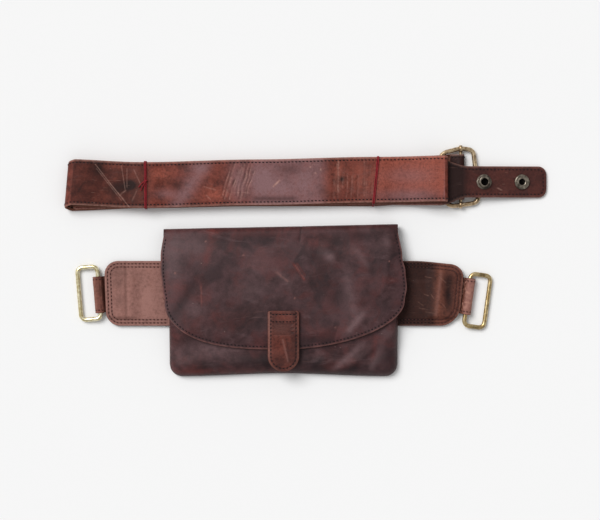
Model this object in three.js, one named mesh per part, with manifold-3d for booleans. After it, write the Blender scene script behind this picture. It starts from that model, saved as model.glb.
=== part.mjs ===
// Leather belt pouch lying on its back, with its own waist strap folded and tied above it.
// Millimetres, +Z up, +Y towards the pouch's mouth. The origin is the middle of the waist band's
// underside, behind the pocket, on the surface that everything lies on.
import * as THREE from 'three';
import { mergeVertices } from 'three/addons/utils/BufferGeometryUtils.js';
import Module from 'manifold-3d';

const wasm = await Module();
wasm.setup();

// Room left between pieces that touch, are sewn together or run in each other
const gap = 0.3;

// Room left under a leather that is draped over another
const drapeGap = 0.7;

// Leathers
const bandLeather = 1.6;
const panelLeather = 1.6;
const flapLeather = 1.8;
const tabLeather = 2.2;
const keeperLeather = 1.5;
const keeperTail = 2.0;
const strapLeather = 2.2;
const skivedLeather = 1.6;

// Waist band, two leathers that end in a wing on each side of the pocket
const bandLength = 321.4;
const bandWidth = 58;
const wingCorner = 12;
const wingStart = 118;
const bumpEdge = 4;
const bandMargin = 4;
const backDrape = 24;
const tailDrape = 16;

// Pocket
const pocketWidth = 206;
const pocketTaper = 0.4;
const pocketDrop = 74.5;
const pocketCorner = 11;
const pocketArch = 2.6;
const pocketDepth = 10;
const mouthDepth = 7.6;
const rollIn = 12;
const crownLoss = 0.12;

// Flap, folded over the mouth
const flapOverhang = 7.7;
const foldLine = 60.3;
const foldSlope = 0.0196;
const foldReach = 7;
const flapShoulder = -7.7;
const flapBelly = 42.3;
const flapTailEnd = 34;
const flapSag = 4;
const sagReach = 25.7;

// Closure tab and the snap hidden under it
const tabWidth = 27.6;
const tabTop = -15.8;
const tabEnd = -69.8;
const tabDip = 1.6;
const closureSnapWidth = 12;
const closureSnapPlace = -59.5;

// Rings and the leather keepers that hold them
const wire = 3.9;
const ringLength = 51.2;
const ringWidth = 22.3;
const ringCorner = 4.8;
const keeperLength = 32.4;
const keeperSlack = 1.2;
const keeperTailEnd = 24;
const ringFromEnd = 5.6;
const loopAngle = 125;

// The two ends of the band: how far keeper and ring lean, how far the band's end edge leans, how much its
// upper edge drops, how much rounder its lower corner is, and how far keeper and ring lie off the middle
const sides = [
  {
    name: 'left', way: -1, lean: 4.8, edgeLean: 2.1, topDrop: 0, lowerRound: 0,
    keeperShift: -1.2, ringShift: 0.9,
  },
  {
    name: 'right', way: 1, lean: -8.0, edgeLean: -5.5, topDrop: 3.4, lowerRound: 5,
    keeperShift: -2.7, ringShift: -5.4,
  },
];

// Folded strap
const strapWidth = 40.6;
const strapMiddle = 101.2;
const bundleLeft = -195.8;
const bundleRight = 148.0;
const innerLoopLeft = -188.6;
const laneGap = 0.4;
const leftFlare = 2.6;
const rightFlare = 1.8;
const flareLength = 34;
const leftLean = 5;

// Tapered tab end of the strap, its length measured from the buckle's centre bar
const tabEndWidth = 27.6;
const tabEndLength = 77.2;
const tabEndCorner = 7;
const taperFrom = 141;
const taperTo = 166;
const tabEndMiddle = 100.6;

// Buckle
const barPlace = 160.0;
const barMiddle = 105.1;
const barWire = 3.0;
const frameWire = 4.0;
const frameWidth = 33.5;
const frameLength = 51.6;
const eyeWidth = 2.6;
const eyeWall = 0.9;
const sewnTail = 9.5;

// Snap on the tab end, its two halves placed from the end's tip
const tabEndReach = barPlace + tabEndLength;
const snapWidth = 13.6;
const studFromTip = 56.6;
const socketFromTip = 22.1;
const studPlace = tabEndReach - studFromTip;
const socketPlace = tabEndReach - socketFromTip;
const snapFlange = 0.8;
const studCollar = 10.4;
const studHole = 6.2;
const studHeight = 4.0;
const socketHole = 5.4;
const socketHeight = 1.7;
const capWidth = 8.5;
const capHeight = 0.9;
const capRoom = 0.5;

// Thread ties round the folded strap, placed by their share of the way along it
const tieWidth = 3.2;
const tieThickness = 1.1;
const tieLiftLength = 17;
const tieLiftFlat = 4.3;
const tieRoom = 0.9;
const ties = [
  { name: 'left', along: 0.208, lean: 0.5 },
  { name: 'right', along: 0.811, lean: -5.7 },
].map((tie) => ({ ...tie, place: bundleLeft + tie.along * (bundleRight - bundleLeft) }));

// Lie of the strap's four lanes, top lane first: sideways shift in strap widths, against the share of the
// way from the left end of the bundle to the right
const strapLay = [
  { along: 0.0, lanes: [-0.022, -0.062, -0.124, -0.150] },
  { along: 0.2, lanes: [-0.085, -0.082, -0.083, -0.090] },
  { along: 0.5, lanes: [-0.025, -0.025, -0.035, -0.045] },
  { along: 0.8, lanes: [0.030, 0.009, -0.016, -0.042] },
  { along: 1.0, lanes: [0.056, 0.037, -0.030, 0.080] },
];

// Outline of the flap's two side edges: reach in half flap widths, against the share of the way from
// the fold down to the shoulder where the lower curve starts
const flapSides = [
  { down: 0.0, left: 0.968, right: 0.925 },
  { down: 0.4, left: 0.997, right: 0.964 },
  { down: 0.6, left: 0.997, right: 0.990 },
  { down: 0.8, left: 0.984, right: 1.001 },
  { down: 1.0, left: 0.967, right: 0.983 },
];
const lowerCurve = { left: { power: 3, rise: 0.5 }, right: { power: 1.9, rise: 0.57 } };

// Corners of the buckle frame's wire: shares of its width and length from the centre bar, and how round
const frameCorners = [
  { across: 0.50, along: -0.445, round: 6 },
  { across: 0.34, along: 0.475, round: 5.5 },
  { across: 0.00, along: 0.503, round: 16 },
  { across: -0.60, along: 0.400, round: 9 },
  { across: -0.42, along: -0.525, round: 9 },
];

const looks = {
  darkLeather: new THREE.MeshStandardMaterial({ color: 0x4c3432, roughness: 0.5, metalness: 0 }),
  tanLeather: new THREE.MeshStandardMaterial({ color: 0x7d4f46, roughness: 0.5, metalness: 0 }),
  strapLeather: new THREE.MeshStandardMaterial({ color: 0x6d3d34, roughness: 0.5, metalness: 0 }),
  brass: new THREE.MeshStandardMaterial({ color: 0xb49a62, roughness: 0.3, metalness: 1 }),
  gunmetal: new THREE.MeshStandardMaterial({ color: 0x55504b, roughness: 0.4, metalness: 1 }),
  thread: new THREE.MeshStandardMaterial({ color: 0x8e2228, roughness: 0.8, metalness: 0 }),
};

const { clamp, lerp, smoothstep, degToRad } = THREE.MathUtils;
const point = (x, y, z) => new THREE.Vector3(x, y, z);
const range = (count) => Array.from({ length: count }, (_, k) => k);

// Shares from 0 to 1 that crowd together towards both ends
const crowded = (count) => range(count).map((k) => 0.5 - 0.5 * Math.cos((Math.PI * k) / (count - 1)));

// Value of a table's column at a place between its rows
function readTable(rows, key, place, column) {
  const after = clamp(rows.filter((row) => row[key] < place).length, 1, rows.length - 1);
  const before = rows[after - 1];
  const share = smoothstep(place, before[key], rows[after][key]);
  return lerp(column(before), column(rows[after]), share);
}

// One closed body from a list of rings with equal counts. An open loft gets strips across its two ends;
// an endless one joins its last ring to its first. The faces are turned to point out.
function loft(rings, endless = false) {
  const count = rings[0].length;
  const points = rings.flat();
  const index = [];
  const spans = endless ? rings.length : rings.length - 1;
  const quad = (a, b, c, d) => index.push(a, b, c, a, c, d);
  for (const r of range(spans)) {
    const here = r * count;
    const next = ((r + 1) % rings.length) * count;
    for (const k of range(count)) {
      const beside = (k + 1) % count;
      quad(here + k, here + beside, next + beside, next + k);
    }
  }
  if (!endless) {
    const last = (rings.length - 1) * count;
    for (const k of range(count / 2 - 1)) {
      quad(k + 1, k, count - 1 - k, count - 2 - k);
      quad(last + k, last + k + 1, last + count - 2 - k, last + count - 1 - k);
    }
  }
  let volume = 0;
  for (let k = 0; k < index.length; k += 3) {
    const [a, b, c] = [points[index[k]], points[index[k + 1]], points[index[k + 2]]];
    volume += a.dot(b.clone().cross(c));
  }
  if (volume < 0) {
    index.reverse();
  }
  const geometry = new THREE.BufferGeometry();
  const positions = points.flatMap((p) => [p.x, p.y, p.z]);
  geometry.setAttribute('position', new THREE.Float32BufferAttribute(positions, 3));
  geometry.setIndex(index);
  return geometry;
}

// A leather wall from rows of matching points on its two faces
const wall = (rows) => loft(rows.map(({ outer, inner }) => [...outer, ...inner.slice().reverse()]));

// Stations round a polygon with rounded corners, given counterclockwise, each with its outward direction
function roundedPath(corners, steps) {
  return corners.flatMap((corner, k) => {
    const before = corners[(k + corners.length - 1) % corners.length];
    const after = corners[(k + 1) % corners.length];
    const coming = new THREE.Vector2(corner.x - before.x, corner.y - before.y).normalize();
    const going = new THREE.Vector2(after.x - corner.x, after.y - corner.y).normalize();
    const turn = Math.acos(clamp(coming.dot(going), -1, 1));
    const setback = corner.round * Math.tan(turn / 2);
    const centreX = corner.x - coming.x * setback - coming.y * corner.round;
    const centreY = corner.y - coming.y * setback + coming.x * corner.round;
    return range(steps + 1).map((step) => {
      const out = new THREE.Vector2(coming.y, -coming.x);
      out.rotateAround(new THREE.Vector2(), (turn * step) / steps);
      return { x: centreX + out.x * corner.round, y: centreY + out.y * corner.round, out };
    });
  });
}

const part = new THREE.Group();

function add(name, geometry, look, parent = part) {
  const mesh = new THREE.Mesh(geometry, look);
  mesh.name = name;
  parent.add(mesh);
  return mesh;
}

// Levels of what lies behind the pocket
const overBand = 2 * bandLeather + 2 * gap;
const overFlapTail = flapLeather + 2 * gap;
const halfBand = bandWidth / 2;
const halfPocket = pocketWidth / 2;
const halfFlap = halfPocket + flapOverhang;

const foldY = (x) => foldLine + foldSlope * x;
const foldCentre = (x) => foldY(x) - foldReach;
const mouthY = (x) => foldCentre(x) - gap;

// Underside of the back panel: over the flap's tail, over the band, then down to the surface
function backHeight(y) {
  const up = smoothstep(y, halfBand + bandMargin, halfBand + bandMargin + tailDrape);
  const down = smoothstep(-y, halfBand + bandMargin, halfBand + bandMargin + backDrape);
  return overBand + (overFlapTail - overBand) * up + (gap - overBand) * down;
}

const seamHeight = (y) => backHeight(y) + panelLeather + gap;
const pocketSide = (y) => halfPocket - pocketTaper * clamp((foldLine - y) / (foldLine + pocketDrop), 0, 1);

// Lower edge of the pocket, a little arched, with round corners
function pocketLower(x) {
  const reach = pocketSide(-pocketDrop);
  const intoCorner = clamp(Math.abs(x) - (reach - pocketCorner), 0, pocketCorner);
  const corner = pocketCorner - Math.sqrt(pocketCorner ** 2 - intoCorner ** 2);
  const arch = pocketArch * smoothstep(reach - Math.abs(x), pocketCorner, reach);
  return -pocketDrop + corner + arch;
}

// Depth of the pocket above its seam, rolling in to nothing at the sides and the lower edge
function crown(x, y) {
  const depth = lerp(pocketDepth, mouthDepth, smoothstep(y, 10, foldLine));
  return depth * (1 - crownLoss * (x / halfPocket) ** 2);
}

function frontHeight(x, y) {
  const fromSide = Math.max(pocketSide(y) - Math.abs(x), 0);
  const fromBelow = Math.max(y + pocketDrop - pocketArch * smoothstep(fromSide, pocketCorner, halfPocket), 0);
  const inCorner = Math.max(fromSide, fromBelow) < pocketCorner;
  const fromCorner = pocketCorner - Math.hypot(pocketCorner - fromSide, pocketCorner - fromBelow);
  const inside = Math.max(inCorner ? fromCorner : Math.min(fromSide, fromBelow), 0);
  const edge = clamp(1 - inside / rollIn, 0, 1);
  return seamHeight(y) + crown(x, y) * Math.sqrt(1 - edge ** 2);
}

// Rows and columns shared by the two pocket walls: shares of the way from the mouth to the lower edge, closer
// where the walls step over the band's edges and where the front rolls in
const pocketRows = [
  0, 0.06, 0.1, 0.14, 0.18, 0.28, 0.4, 0.54, 0.68, 0.72, 0.76, 0.8, 0.84,
  0.87, 0.905, 0.935, 0.96, 0.98, 0.993, 1,
];
const pocketColumns = crowded(20);
function pocketPlace(across, down) {
  const level = lerp(-1, 1, across) * pocketSide(-pocketDrop);
  const y = lerp(mouthY(level), pocketLower(level), down);
  return { x: (level * pocketSide(y)) / pocketSide(-pocketDrop), y };
}

function makeBackPanel() {
  return wall(pocketRows.map((down) => {
    const places = crowded(14).map((across) => pocketPlace(across, down));
    return {
      outer: places.map(({ x, y }) => point(x, y, backHeight(y))),
      inner: places.map(({ x, y }) => point(x, y, backHeight(y) + panelLeather)),
    };
  }));
}

function makeFrontPanel() {
  const step = 0.25;
  return wall(pocketRows.map((down) => {
    const places = pocketColumns.map((across) => pocketPlace(across, down));
    const outer = places.map(({ x, y }) => point(x, y, frontHeight(x, y)));
    const inner = outer.map((p) => {
      const slopeX = (frontHeight(p.x + step, p.y) - frontHeight(p.x - step, p.y)) / (2 * step);
      const slopeY = (frontHeight(p.x, p.y + step) - frontHeight(p.x, p.y - step)) / (2 * step);
      const face = point(-slopeX, down === 0 ? 0 : -slopeY, 1).normalize();
      const under = p.clone().addScaledVector(face, -panelLeather);
      under.z = Math.max(under.z, seamHeight(under.y), seamHeight(p.y));
      return under;
    });
    return { outer, inner };
  }));
}

// Outer face of the flap over the pocket
function flapHeight(x, y) {
  const droop = clamp((Math.abs(x) - halfFlap) / sagReach + 1, 0, 1.2);
  return seamHeight(y) + crown(x, y) + drapeGap + flapLeather - flapSag * droop ** 2;
}

// Lower edge of the flap, against the share of the way from its middle to its side
function flapLower(share) {
  const { power, rise } = share < 0 ? lowerCurve.left : lowerCurve.right;
  return flapShoulder - flapBelly * (1 - Math.abs(share) ** power) ** rise;
}

function flapPlace(across, down) {
  const share = lerp(-1, 1, across);
  const y = lerp(foldCentre(share * halfFlap), flapLower(share), down);
  const drop = clamp((foldLine - y) / (foldLine - flapShoulder), 0, 1);
  const reach = readTable(flapSides, 'down', drop, (row) => (share < 0 ? row.left : row.right));
  return { x: share * reach * halfFlap, y };
}

function makeFlap() {
  const columns = crowded(24);
  const tail = [0, 0.5].map((along) => columns.map((across) => {
    const { x, y } = flapPlace(across, 0);
    const back = lerp(flapTailEnd, y, along);
    return { outer: point(x, back, gap), inner: point(x, back, gap + flapLeather) };
  }));
  const fold = range(8).map((k) => columns.map((across) => {
    const { x, y } = flapPlace(across, 0);
    const angle = Math.PI * (1 - k / 8);
    const top = flapHeight(x, y);
    const middle = (top + gap) / 2;
    const half = (top - gap) / 2;
    const on = (cut) => {
      const reach = foldReach - cut;
      return point(x, y + reach * Math.sin(angle), middle + (half - cut) * Math.cos(angle));
    };
    return { outer: on(0), inner: on(flapLeather) };
  }));
  const front = range(14).map((k) => columns.map((across) => {
    const { x, y } = flapPlace(across, k / 13);
    const top = flapHeight(x, y);
    return { outer: point(x, y, top), inner: point(x, y, top - flapLeather) };
  }));
  const rows = [...tail, ...fold, ...front];
  return wall(rows.map((row) => ({ outer: row.map((p) => p.outer), inner: row.map((p) => p.inner) })));
}

// Underside of the closure tab: sewn on the flap, then reaching out over the pocket's front
function tabHeight(y) {
  const edge = flapShoulder - flapBelly;
  if (y > edge) {
    return flapHeight(0, y) + drapeGap;
  }
  return flapHeight(0, edge) + drapeGap - tabDip * smoothstep(-y, -edge, -tabEnd);
}

function makeClosureTab() {
  const round = tabWidth / 2;
  const straight = range(8).map((k) => ({ y: lerp(tabTop, tabEnd + round, k / 7), half: round }));
  const end = range(7).slice(1).map((k) => {
    const angle = (0.97 * Math.PI * k) / 12;
    return { y: tabEnd + round - round * Math.sin(angle), half: round * Math.cos(angle) };
  });
  return wall([...straight, ...end].map(({ y, half }) => {
    const xs = range(5).map((k) => lerp(-half, half, k / 4));
    return {
      outer: xs.map((x) => point(x, y, tabHeight(y) + tabLeather)),
      inner: xs.map((x) => point(x, y, tabHeight(y))),
    };
  }));
}

function makeClosureSnap() {
  const low = frontHeight(0, closureSnapPlace) + gap;
  const high = tabHeight(closureSnapPlace - closureSnapWidth / 2) - gap;
  const geometry = new THREE.CylinderGeometry(closureSnapWidth / 2, closureSnapWidth / 2, high - low, 16);
  geometry.rotateX(Math.PI / 2);
  geometry.translate(0, closureSnapPlace, (low + high) / 2);
  return geometry;
}

// Place on the band: shares from end to end and from lower to upper edge
function bandPlace(along, across) {
  const x = (along * bandLength) / 2;
  const side = sides[x < 0 ? 0 : 1];
  const corner = wingCorner + (across < 0 ? side.lowerRound : 0);
  const intoCorner = clamp(corner - (bandLength / 2 - Math.abs(x)), 0, corner);
  const half = halfBand - corner + Math.sqrt(corner ** 2 - intoCorner ** 2);
  const wing = smoothstep(Math.abs(x), wingStart, bandLength / 2);
  const y = across * half - Math.max(across, 0) * side.topDrop * wing;
  return { x: x - y * wing * Math.tan(degToRad(side.edgeLean)), y };
}

// Rise of the front leather over a keeper's tail
const tailReach = bandLength / 2 + ringFromEnd - keeperTailEnd;
const tailMargin = 4;
function bandBump(x, y) {
  const overEnd = smoothstep(Math.abs(x), tailReach - tailMargin - bumpEdge, tailReach - tailMargin);
  const beside = Math.abs(y) - keeperLength / 2 - tailMargin;
  return (keeperTail + gap) * overEnd * (1 - smoothstep(beside, 0, bumpEdge));
}

const bandAcross = [-1, -0.86, -0.69, -0.35, 0, 0.35, 0.69, 0.86, 1];
const bandAlong = [-1, -0.994, -0.975, -0.95, -0.925, -0.9, -0.86, -0.835, -0.79, -0.73, -0.4];

function makeBand(low, rises) {
  const stations = [...bandAlong, 0, ...bandAlong.map((along) => -along).reverse()];
  const across = rises ? bandAcross : [-1, 0, 1];
  return wall(stations.map((along) => {
    const places = across.map((share) => bandPlace(along, share));
    const height = ({ x, y }) => low + (rises ? bandBump(x, y) : 0);
    return {
      outer: places.map((place) => point(place.x, place.y, height(place) + bandLeather)),
      inner: places.map((place) => point(place.x, place.y, height(place))),
    };
  }));
}

// A round wire along a closed path in a plane
function wireLoop(path, thickness, count) {
  return loft(path.map(({ x, y, out }) => range(count).map((k) => {
    const angle = (2 * Math.PI * k) / count;
    const reach = (thickness / 2) * Math.cos(angle);
    return point(x + out.x * reach, y + out.y * reach, (thickness / 2) * Math.sin(angle));
  })), true);
}

// Keeper and ring are drawn with the ring's bar as their origin and +X pointing away from the pocket
const ringAxisHeight = keeperLeather + gap + wire / 2;
const ringReach = ringWidth - wire;

function makeKeeper() {
  const bore = wire / 2 + gap;
  const skin = bore + keeperLeather;
  const top = bandLeather + gap + keeperTail - ringAxisHeight;
  const low = top - keeperTail;
  const neck = ringFromEnd - 2 * gap;
  const shape = new THREE.Shape();
  shape.moveTo(-keeperTailEnd, low);
  shape.lineTo(-neck, low);
  shape.absarc(0, 0, skin, degToRad(-loopAngle), degToRad(-90), false);
  shape.absarc(keeperSlack, 0, skin, degToRad(-90), degToRad(90), false);
  shape.absarc(0, 0, skin, degToRad(90), degToRad(loopAngle), false);
  shape.lineTo(-neck, top);
  shape.lineTo(-keeperTailEnd, top);
  const hole = new THREE.Path();
  hole.absarc(keeperSlack, 0, bore, degToRad(-90), degToRad(90), false);
  hole.absarc(0, 0, bore, degToRad(90), degToRad(270), false);
  shape.holes.push(hole);
  const options = { depth: keeperLength, bevelEnabled: false, curveSegments: 6 };
  const geometry = new THREE.ExtrudeGeometry(shape, options);
  geometry.translate(0, 0, -keeperLength / 2);
  geometry.rotateX(Math.PI / 2);
  return geometry;
}

function makeRing() {
  const half = (ringLength - wire) / 2;
  const corners = [
    { x: 0, y: -half, round: ringCorner },
    { x: ringReach, y: -half, round: ringCorner },
    { x: ringReach, y: half, round: ringCorner },
    { x: 0, y: half, round: ringCorner },
  ];
  return wireLoop(roundedPath(corners, 5), wire, 10);
}

function addRingSide(side) {
  const holder = new THREE.Group();
  const shift = side.keeperShift;
  holder.position.set(side.way * (bandLength / 2 + ringFromEnd), shift, ringAxisHeight);
  holder.rotation.z = degToRad(side.lean) + (side.way < 0 ? Math.PI : 0);
  part.add(holder);
  add(`keeper_${side.name}`, makeKeeper(), looks.tanLeather, holder);
  const ring = add(`ring_${side.name}`, makeRing(), looks.brass, holder);
  ring.position.y = side.way * (side.ringShift - shift);
  ring.rotation.y = Math.asin((ringAxisHeight - wire / 2) / ringReach);
}

// Strap lanes, counted from the top one. Levels are the middle of the leather's thickness.
const lanePitch = strapLeather + laneGap;
const halfStrap = strapWidth / 2;
const barHeight = skivedLeather + gap + barWire / 2;
const frameTilt = Math.asin((barHeight - frameWire / 2) / (frameCorners[0].across * frameWidth));
const frameRear = -frameCorners[3].across * frameWidth;
const bridgeHeight = barHeight + frameRear * Math.sin(frameTilt) + frameWire / 2 + gap + strapLeather / 2;
const bridgeStart = barPlace - frameRear - frameWire / 2;
const bridgeEnd = barPlace + 4;
const bridgeRun = 28;
const capUnder = strapLeather / 2 + gap + capHeight;
const socketSeat = capUnder + gap + capRoom;

// The folded strap is lifted over each tie where the tie passes under it
function tieLift(x) {
  const climb = tieLiftLength - tieLiftFlat;
  const lifts = ties.map((tie) => smoothstep(tieLiftLength - Math.abs(x - tie.place), 0, climb));
  return (tieThickness + gap) * Math.max(...lifts);
}

const flare = (away) => 1 - smoothstep(Math.abs(away), 0, flareLength);

// Middle height of a lane, with the bundle rising over the buckle's frame at its right end
function laneHeight(lane, x) {
  const climb = bridgeHeight - strapLeather / 2 - lanePitch;
  const rise = climb * smoothstep(x, bridgeStart - bridgeRun, bridgeStart);
  const opening = lane === 0 ? leftFlare * flare(x - innerLoopLeft) + rightFlare * flare(bundleRight - x) : 0;
  return strapLeather / 2 + (3 - lane) * lanePitch + tieLift(x) + (lane < 3 ? rise : 0) + opening;
}

function laneMiddle(lane, x) {
  const along = clamp((x - bundleLeft) / (bundleRight - bundleLeft), 0, 1);
  return strapMiddle + strapWidth * readTable(strapLay, 'along', along, (row) => row.lanes[lane]);
}

// Stations along a lane, with extra ones where it climbs over the ties
function lanePlaces(from, to) {
  const low = Math.min(from, to);
  const high = Math.max(from, to);
  const steps = Math.ceil((high - low) / 14);
  const even = range(steps + 1).map((k) => lerp(low, high, k / steps));
  const shares = [-1, -0.62, -0.28, 0.28, 0.62, 1];
  const atTies = ties.flatMap((tie) => shares.map((share) => tie.place + share * tieLiftLength));
  const inside = atTies.filter((x) => x > low + 3 && x < high - 3);
  const kept = even.filter((x) => inside.every((other) => Math.abs(other - x) > 3));
  const places = [...kept, ...inside].sort((a, b) => a - b);
  return from < to ? places : places.reverse();
}

function lane(number, from, to) {
  return lanePlaces(from, to).map((x) => ({
    x, z: laneHeight(number, x), y: laneMiddle(number, x), half: halfStrap, thick: strapLeather,
  }));
}

// Half a turn between two lanes: way is 1 for a fold at the right end and -1 at the left
function turn(fromLane, toLane, x, way) {
  const start = laneHeight(fromLane, x);
  const end = laneHeight(toLane, x);
  const radius = Math.abs(start - end) / 2;
  return range(7).map((k) => k + 1).map((k) => {
    const angle = (Math.PI * k) / 8;
    return {
      x: x + way * radius * Math.sin(angle),
      z: (start + end) / 2 + ((start - end) / 2) * Math.cos(angle),
      y: lerp(laneMiddle(fromLane, x), laneMiddle(toLane, x), k / 8),
      half: halfStrap,
      thick: strapLeather,
    };
  });
}

// Where a fold must start for its outer face to reach a given place
function turnStart(upper, lower, reach, way) {
  const radius = (laneHeight(upper, reach) - laneHeight(lower, reach)) / 2;
  return reach - way * (radius + strapLeather / 2);
}

function strapRoute() {
  const outerTurn = turnStart(0, 3, bundleLeft, -1);
  const innerTurn = turnStart(1, 2, innerLoopLeft, -1);
  const rightTurn = turnStart(0, 1, bundleRight, 1);
  const skived = skivedLeather / 2;
  const loopRadius = barWire / 2 + gap + skived;
  const atBar = { y: barMiddle, half: halfStrap, thick: skivedLeather };
  const sewn = [0, 0.2, 0.4, 0.6, 0.8, 1].map((share) => ({
    ...atBar,
    x: barPlace - sewnTail * (1 - share),
    z: lerp(2 * skivedLeather + 2 * gap, barHeight + loopRadius, smoothstep(share, 0.1, 0.95)),
  }));
  const roundBar = range(7).map((k) => k + 1).map((k) => {
    const angle = (Math.PI * k) / 8;
    const x = barPlace + loopRadius * Math.sin(angle);
    return { ...atBar, x, z: barHeight + loopRadius * Math.cos(angle) };
  });
  const underBar = [0, 0.5, 1].map((share) => ({ ...atBar, x: barPlace - sewnTail * share, z: skived }));
  const bottomFrom = bridgeStart - 6;
  const joined = [0.6, 0.3].map((share) => {
    const x = lerp(bottomFrom, barPlace - sewnTail, share);
    const thick = lerp(strapLeather, skivedLeather, share);
    return { x, z: thick / 2, y: lerp(laneMiddle(3, bottomFrom), barMiddle, share), half: halfStrap, thick };
  });
  return [
    ...sewn,
    ...roundBar,
    ...underBar,
    ...joined,
    ...lane(3, bottomFrom, outerTurn),
    ...turn(3, 0, outerTurn, -1),
    ...lane(0, outerTurn, rightTurn),
    ...turn(0, 1, rightTurn, 1),
    ...lane(1, rightTurn, innerTurn),
    ...turn(1, 2, innerTurn, -1),
    ...lane(2, innerTurn, taperFrom),
    ...tabEndRoute(),
  ];
}

// Middle height of the tab end: over the frame, then down to the surface
const tabEndSlope = (bridgeHeight - socketSeat) / (socketPlace - bridgeEnd);
const tabEndFlat = socketPlace + capWidth / 2 + 2;
function tabEndHeight(x) {
  const fall = bridgeHeight - tabEndSlope * clamp(x - bridgeEnd, 0, tabEndFlat - bridgeEnd);
  const last = strapLeather / 2 + gap;
  return lerp(fall, last, clamp((x - tabEndFlat) / (tabEndReach - tabEndFlat), 0, 1));
}

function tabEndRoute() {
  const taper = range(6).map((k) => lerp(taperFrom, taperTo, (k + 1) / 6));
  const between = (studPlace + socketPlace) / 2;
  const straight = [bridgeEnd + 8, studPlace, between, socketPlace, tabEndFlat, tabEndReach - tabEndCorner];
  const corner = range(4).map((k) => tabEndReach - tabEndCorner * (1 - Math.sin((Math.PI * (k + 1)) / 8)));
  return [...taper, ...straight, ...corner].map((x) => {
    const share = smoothstep(x, taperFrom, taperTo);
    const intoCorner = clamp(x - (tabEndReach - tabEndCorner), 0, tabEndCorner);
    const lost = tabEndCorner - Math.sqrt(tabEndCorner ** 2 - intoCorner ** 2);
    const y = lerp(laneMiddle(2, x), tabEndMiddle, share);
    const half = lerp(halfStrap, tabEndWidth / 2, share) - lost;
    return { x, z: tabEndHeight(x), y, half, thick: strapLeather };
  });
}

function makeStrap() {
  const route = strapRoute();
  return wall(route.map((here, k) => {
    const before = route[Math.max(k - 1, 0)];
    const after = route[Math.min(k + 1, route.length - 1)];
    const along = new THREE.Vector2(after.x - before.x, after.z - before.z).normalize();
    const lean = Math.tan(degToRad(leftLean)) * flare(here.x - bundleLeft);
    const face = (side) => [-1, 0, 1].map((across) => point(
      here.x - along.y * side * (here.thick / 2) + across * here.half * lean,
      here.y + across * here.half,
      here.z + along.x * side * (here.thick / 2),
    ));
    return { outer: face(1), inner: face(-1) };
  }));
}

// Buckle, drawn flat round its centre bar and then tilted until its right side lies on the surface
const framePath = roundedPath(frameCorners.map(({ across, along, round }) => (
  { x: across * frameWidth, y: along * frameLength, round }
)), 4);

// Where the frame's wire crosses the centre bar's line, on the upper or the lower side
function frameCrossing(way) {
  const next = (k) => framePath[(k + 1) % framePath.length];
  const from = framePath.findIndex((here, k) => here.y * way > 0 && here.x * next(k).x <= 0 && here.x !== 0);
  const [here, there] = [framePath[from], next(from)];
  return lerp(here.y, there.y, here.x / (here.x - there.x));
}

function toManifold(geometry) {
  const bare = geometry.clone();
  bare.deleteAttribute('normal');
  bare.deleteAttribute('uv');
  const merged = mergeVertices(bare, 1e-4);
  const mesh = new wasm.Mesh({
    numProp: 3,
    vertProperties: new Float32Array(merged.attributes.position.array),
    triVerts: new Uint32Array(merged.index.array),
  });
  return new wasm.Manifold(mesh);
}

function fromManifold(solid) {
  const mesh = solid.getMesh();
  const geometry = new THREE.BufferGeometry();
  geometry.setAttribute('position', new THREE.BufferAttribute(new Float32Array(mesh.vertProperties), 3));
  geometry.setIndex(new THREE.BufferAttribute(new Uint32Array(mesh.triVerts), 1));
  return geometry;
}

// Centre bar with an eye at each end, closed round the frame's wire
function makeBuckleBar() {
  const bore = frameWire / 2 + gap;
  const skin = bore + eyeWall;
  const ends = [frameCrossing(1), frameCrossing(-1)];
  const bar = new THREE.CylinderGeometry(barWire / 2, barWire / 2, ends[0] - ends[1] - 2 * bore - eyeWall, 12);
  bar.translate(0, (ends[0] + ends[1]) / 2, 0);
  const half = eyeWidth / 2;
  const section = [[bore, -half], [skin, -half], [skin, half], [bore, half], [bore, -half]];
  const eye = new THREE.LatheGeometry(section.map(([r, along]) => new THREE.Vector2(r, along)), 16);
  eye.rotateZ(Math.PI / 2);
  const eyes = ends.map((end) => toManifold(eye.clone().translate(0, end, 0)));
  return fromManifold(toManifold(bar).add(eyes[0]).add(eyes[1]));
}

function addBuckle() {
  const holder = new THREE.Group();
  holder.position.set(barPlace, barMiddle, barHeight);
  holder.rotation.y = frameTilt;
  part.add(holder);
  add('buckle_frame', wireLoop(framePath, frameWire, 8), looks.brass, holder);
  add('buckle_bar', makeBuckleBar(), looks.brass, holder);
}

// A turned piece from its half section, listed from the axis round and back to it
function turned(section, segments = 16) {
  const geometry = new THREE.LatheGeometry(section.map(([r, up]) => new THREE.Vector2(r, up)), segments);
  geometry.rotateX(Math.PI / 2);
  return geometry;
}

function makeStud() {
  const rim = snapWidth / 2;
  const collar = studCollar / 2;
  const hole = studHole / 2;
  return turned([
    [0, 0], [rim, 0], [rim, snapFlange / 2], [collar, snapFlange], [collar, studHeight * 0.88],
    [lerp(collar, hole, 0.4), studHeight], [hole, studHeight * 0.9], [hole, snapFlange], [0, snapFlange],
  ]);
}

function makeSocket() {
  const rim = snapWidth / 2;
  const hole = socketHole / 2;
  return turned([
    [0, 0], [rim, 0], [rim, socketHeight * 0.5], [rim * 0.86, socketHeight], [hole * 1.3, socketHeight],
    [hole, socketHeight * 0.8], [hole, socketHeight * 0.4], [0, socketHeight * 0.4],
  ]);
}

function makeCap() {
  const rim = capWidth / 2;
  return turned([[0, -capHeight], [rim * 0.8, -capHeight], [rim, -capHeight * 0.5], [rim, 0], [0, 0]]);
}

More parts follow.
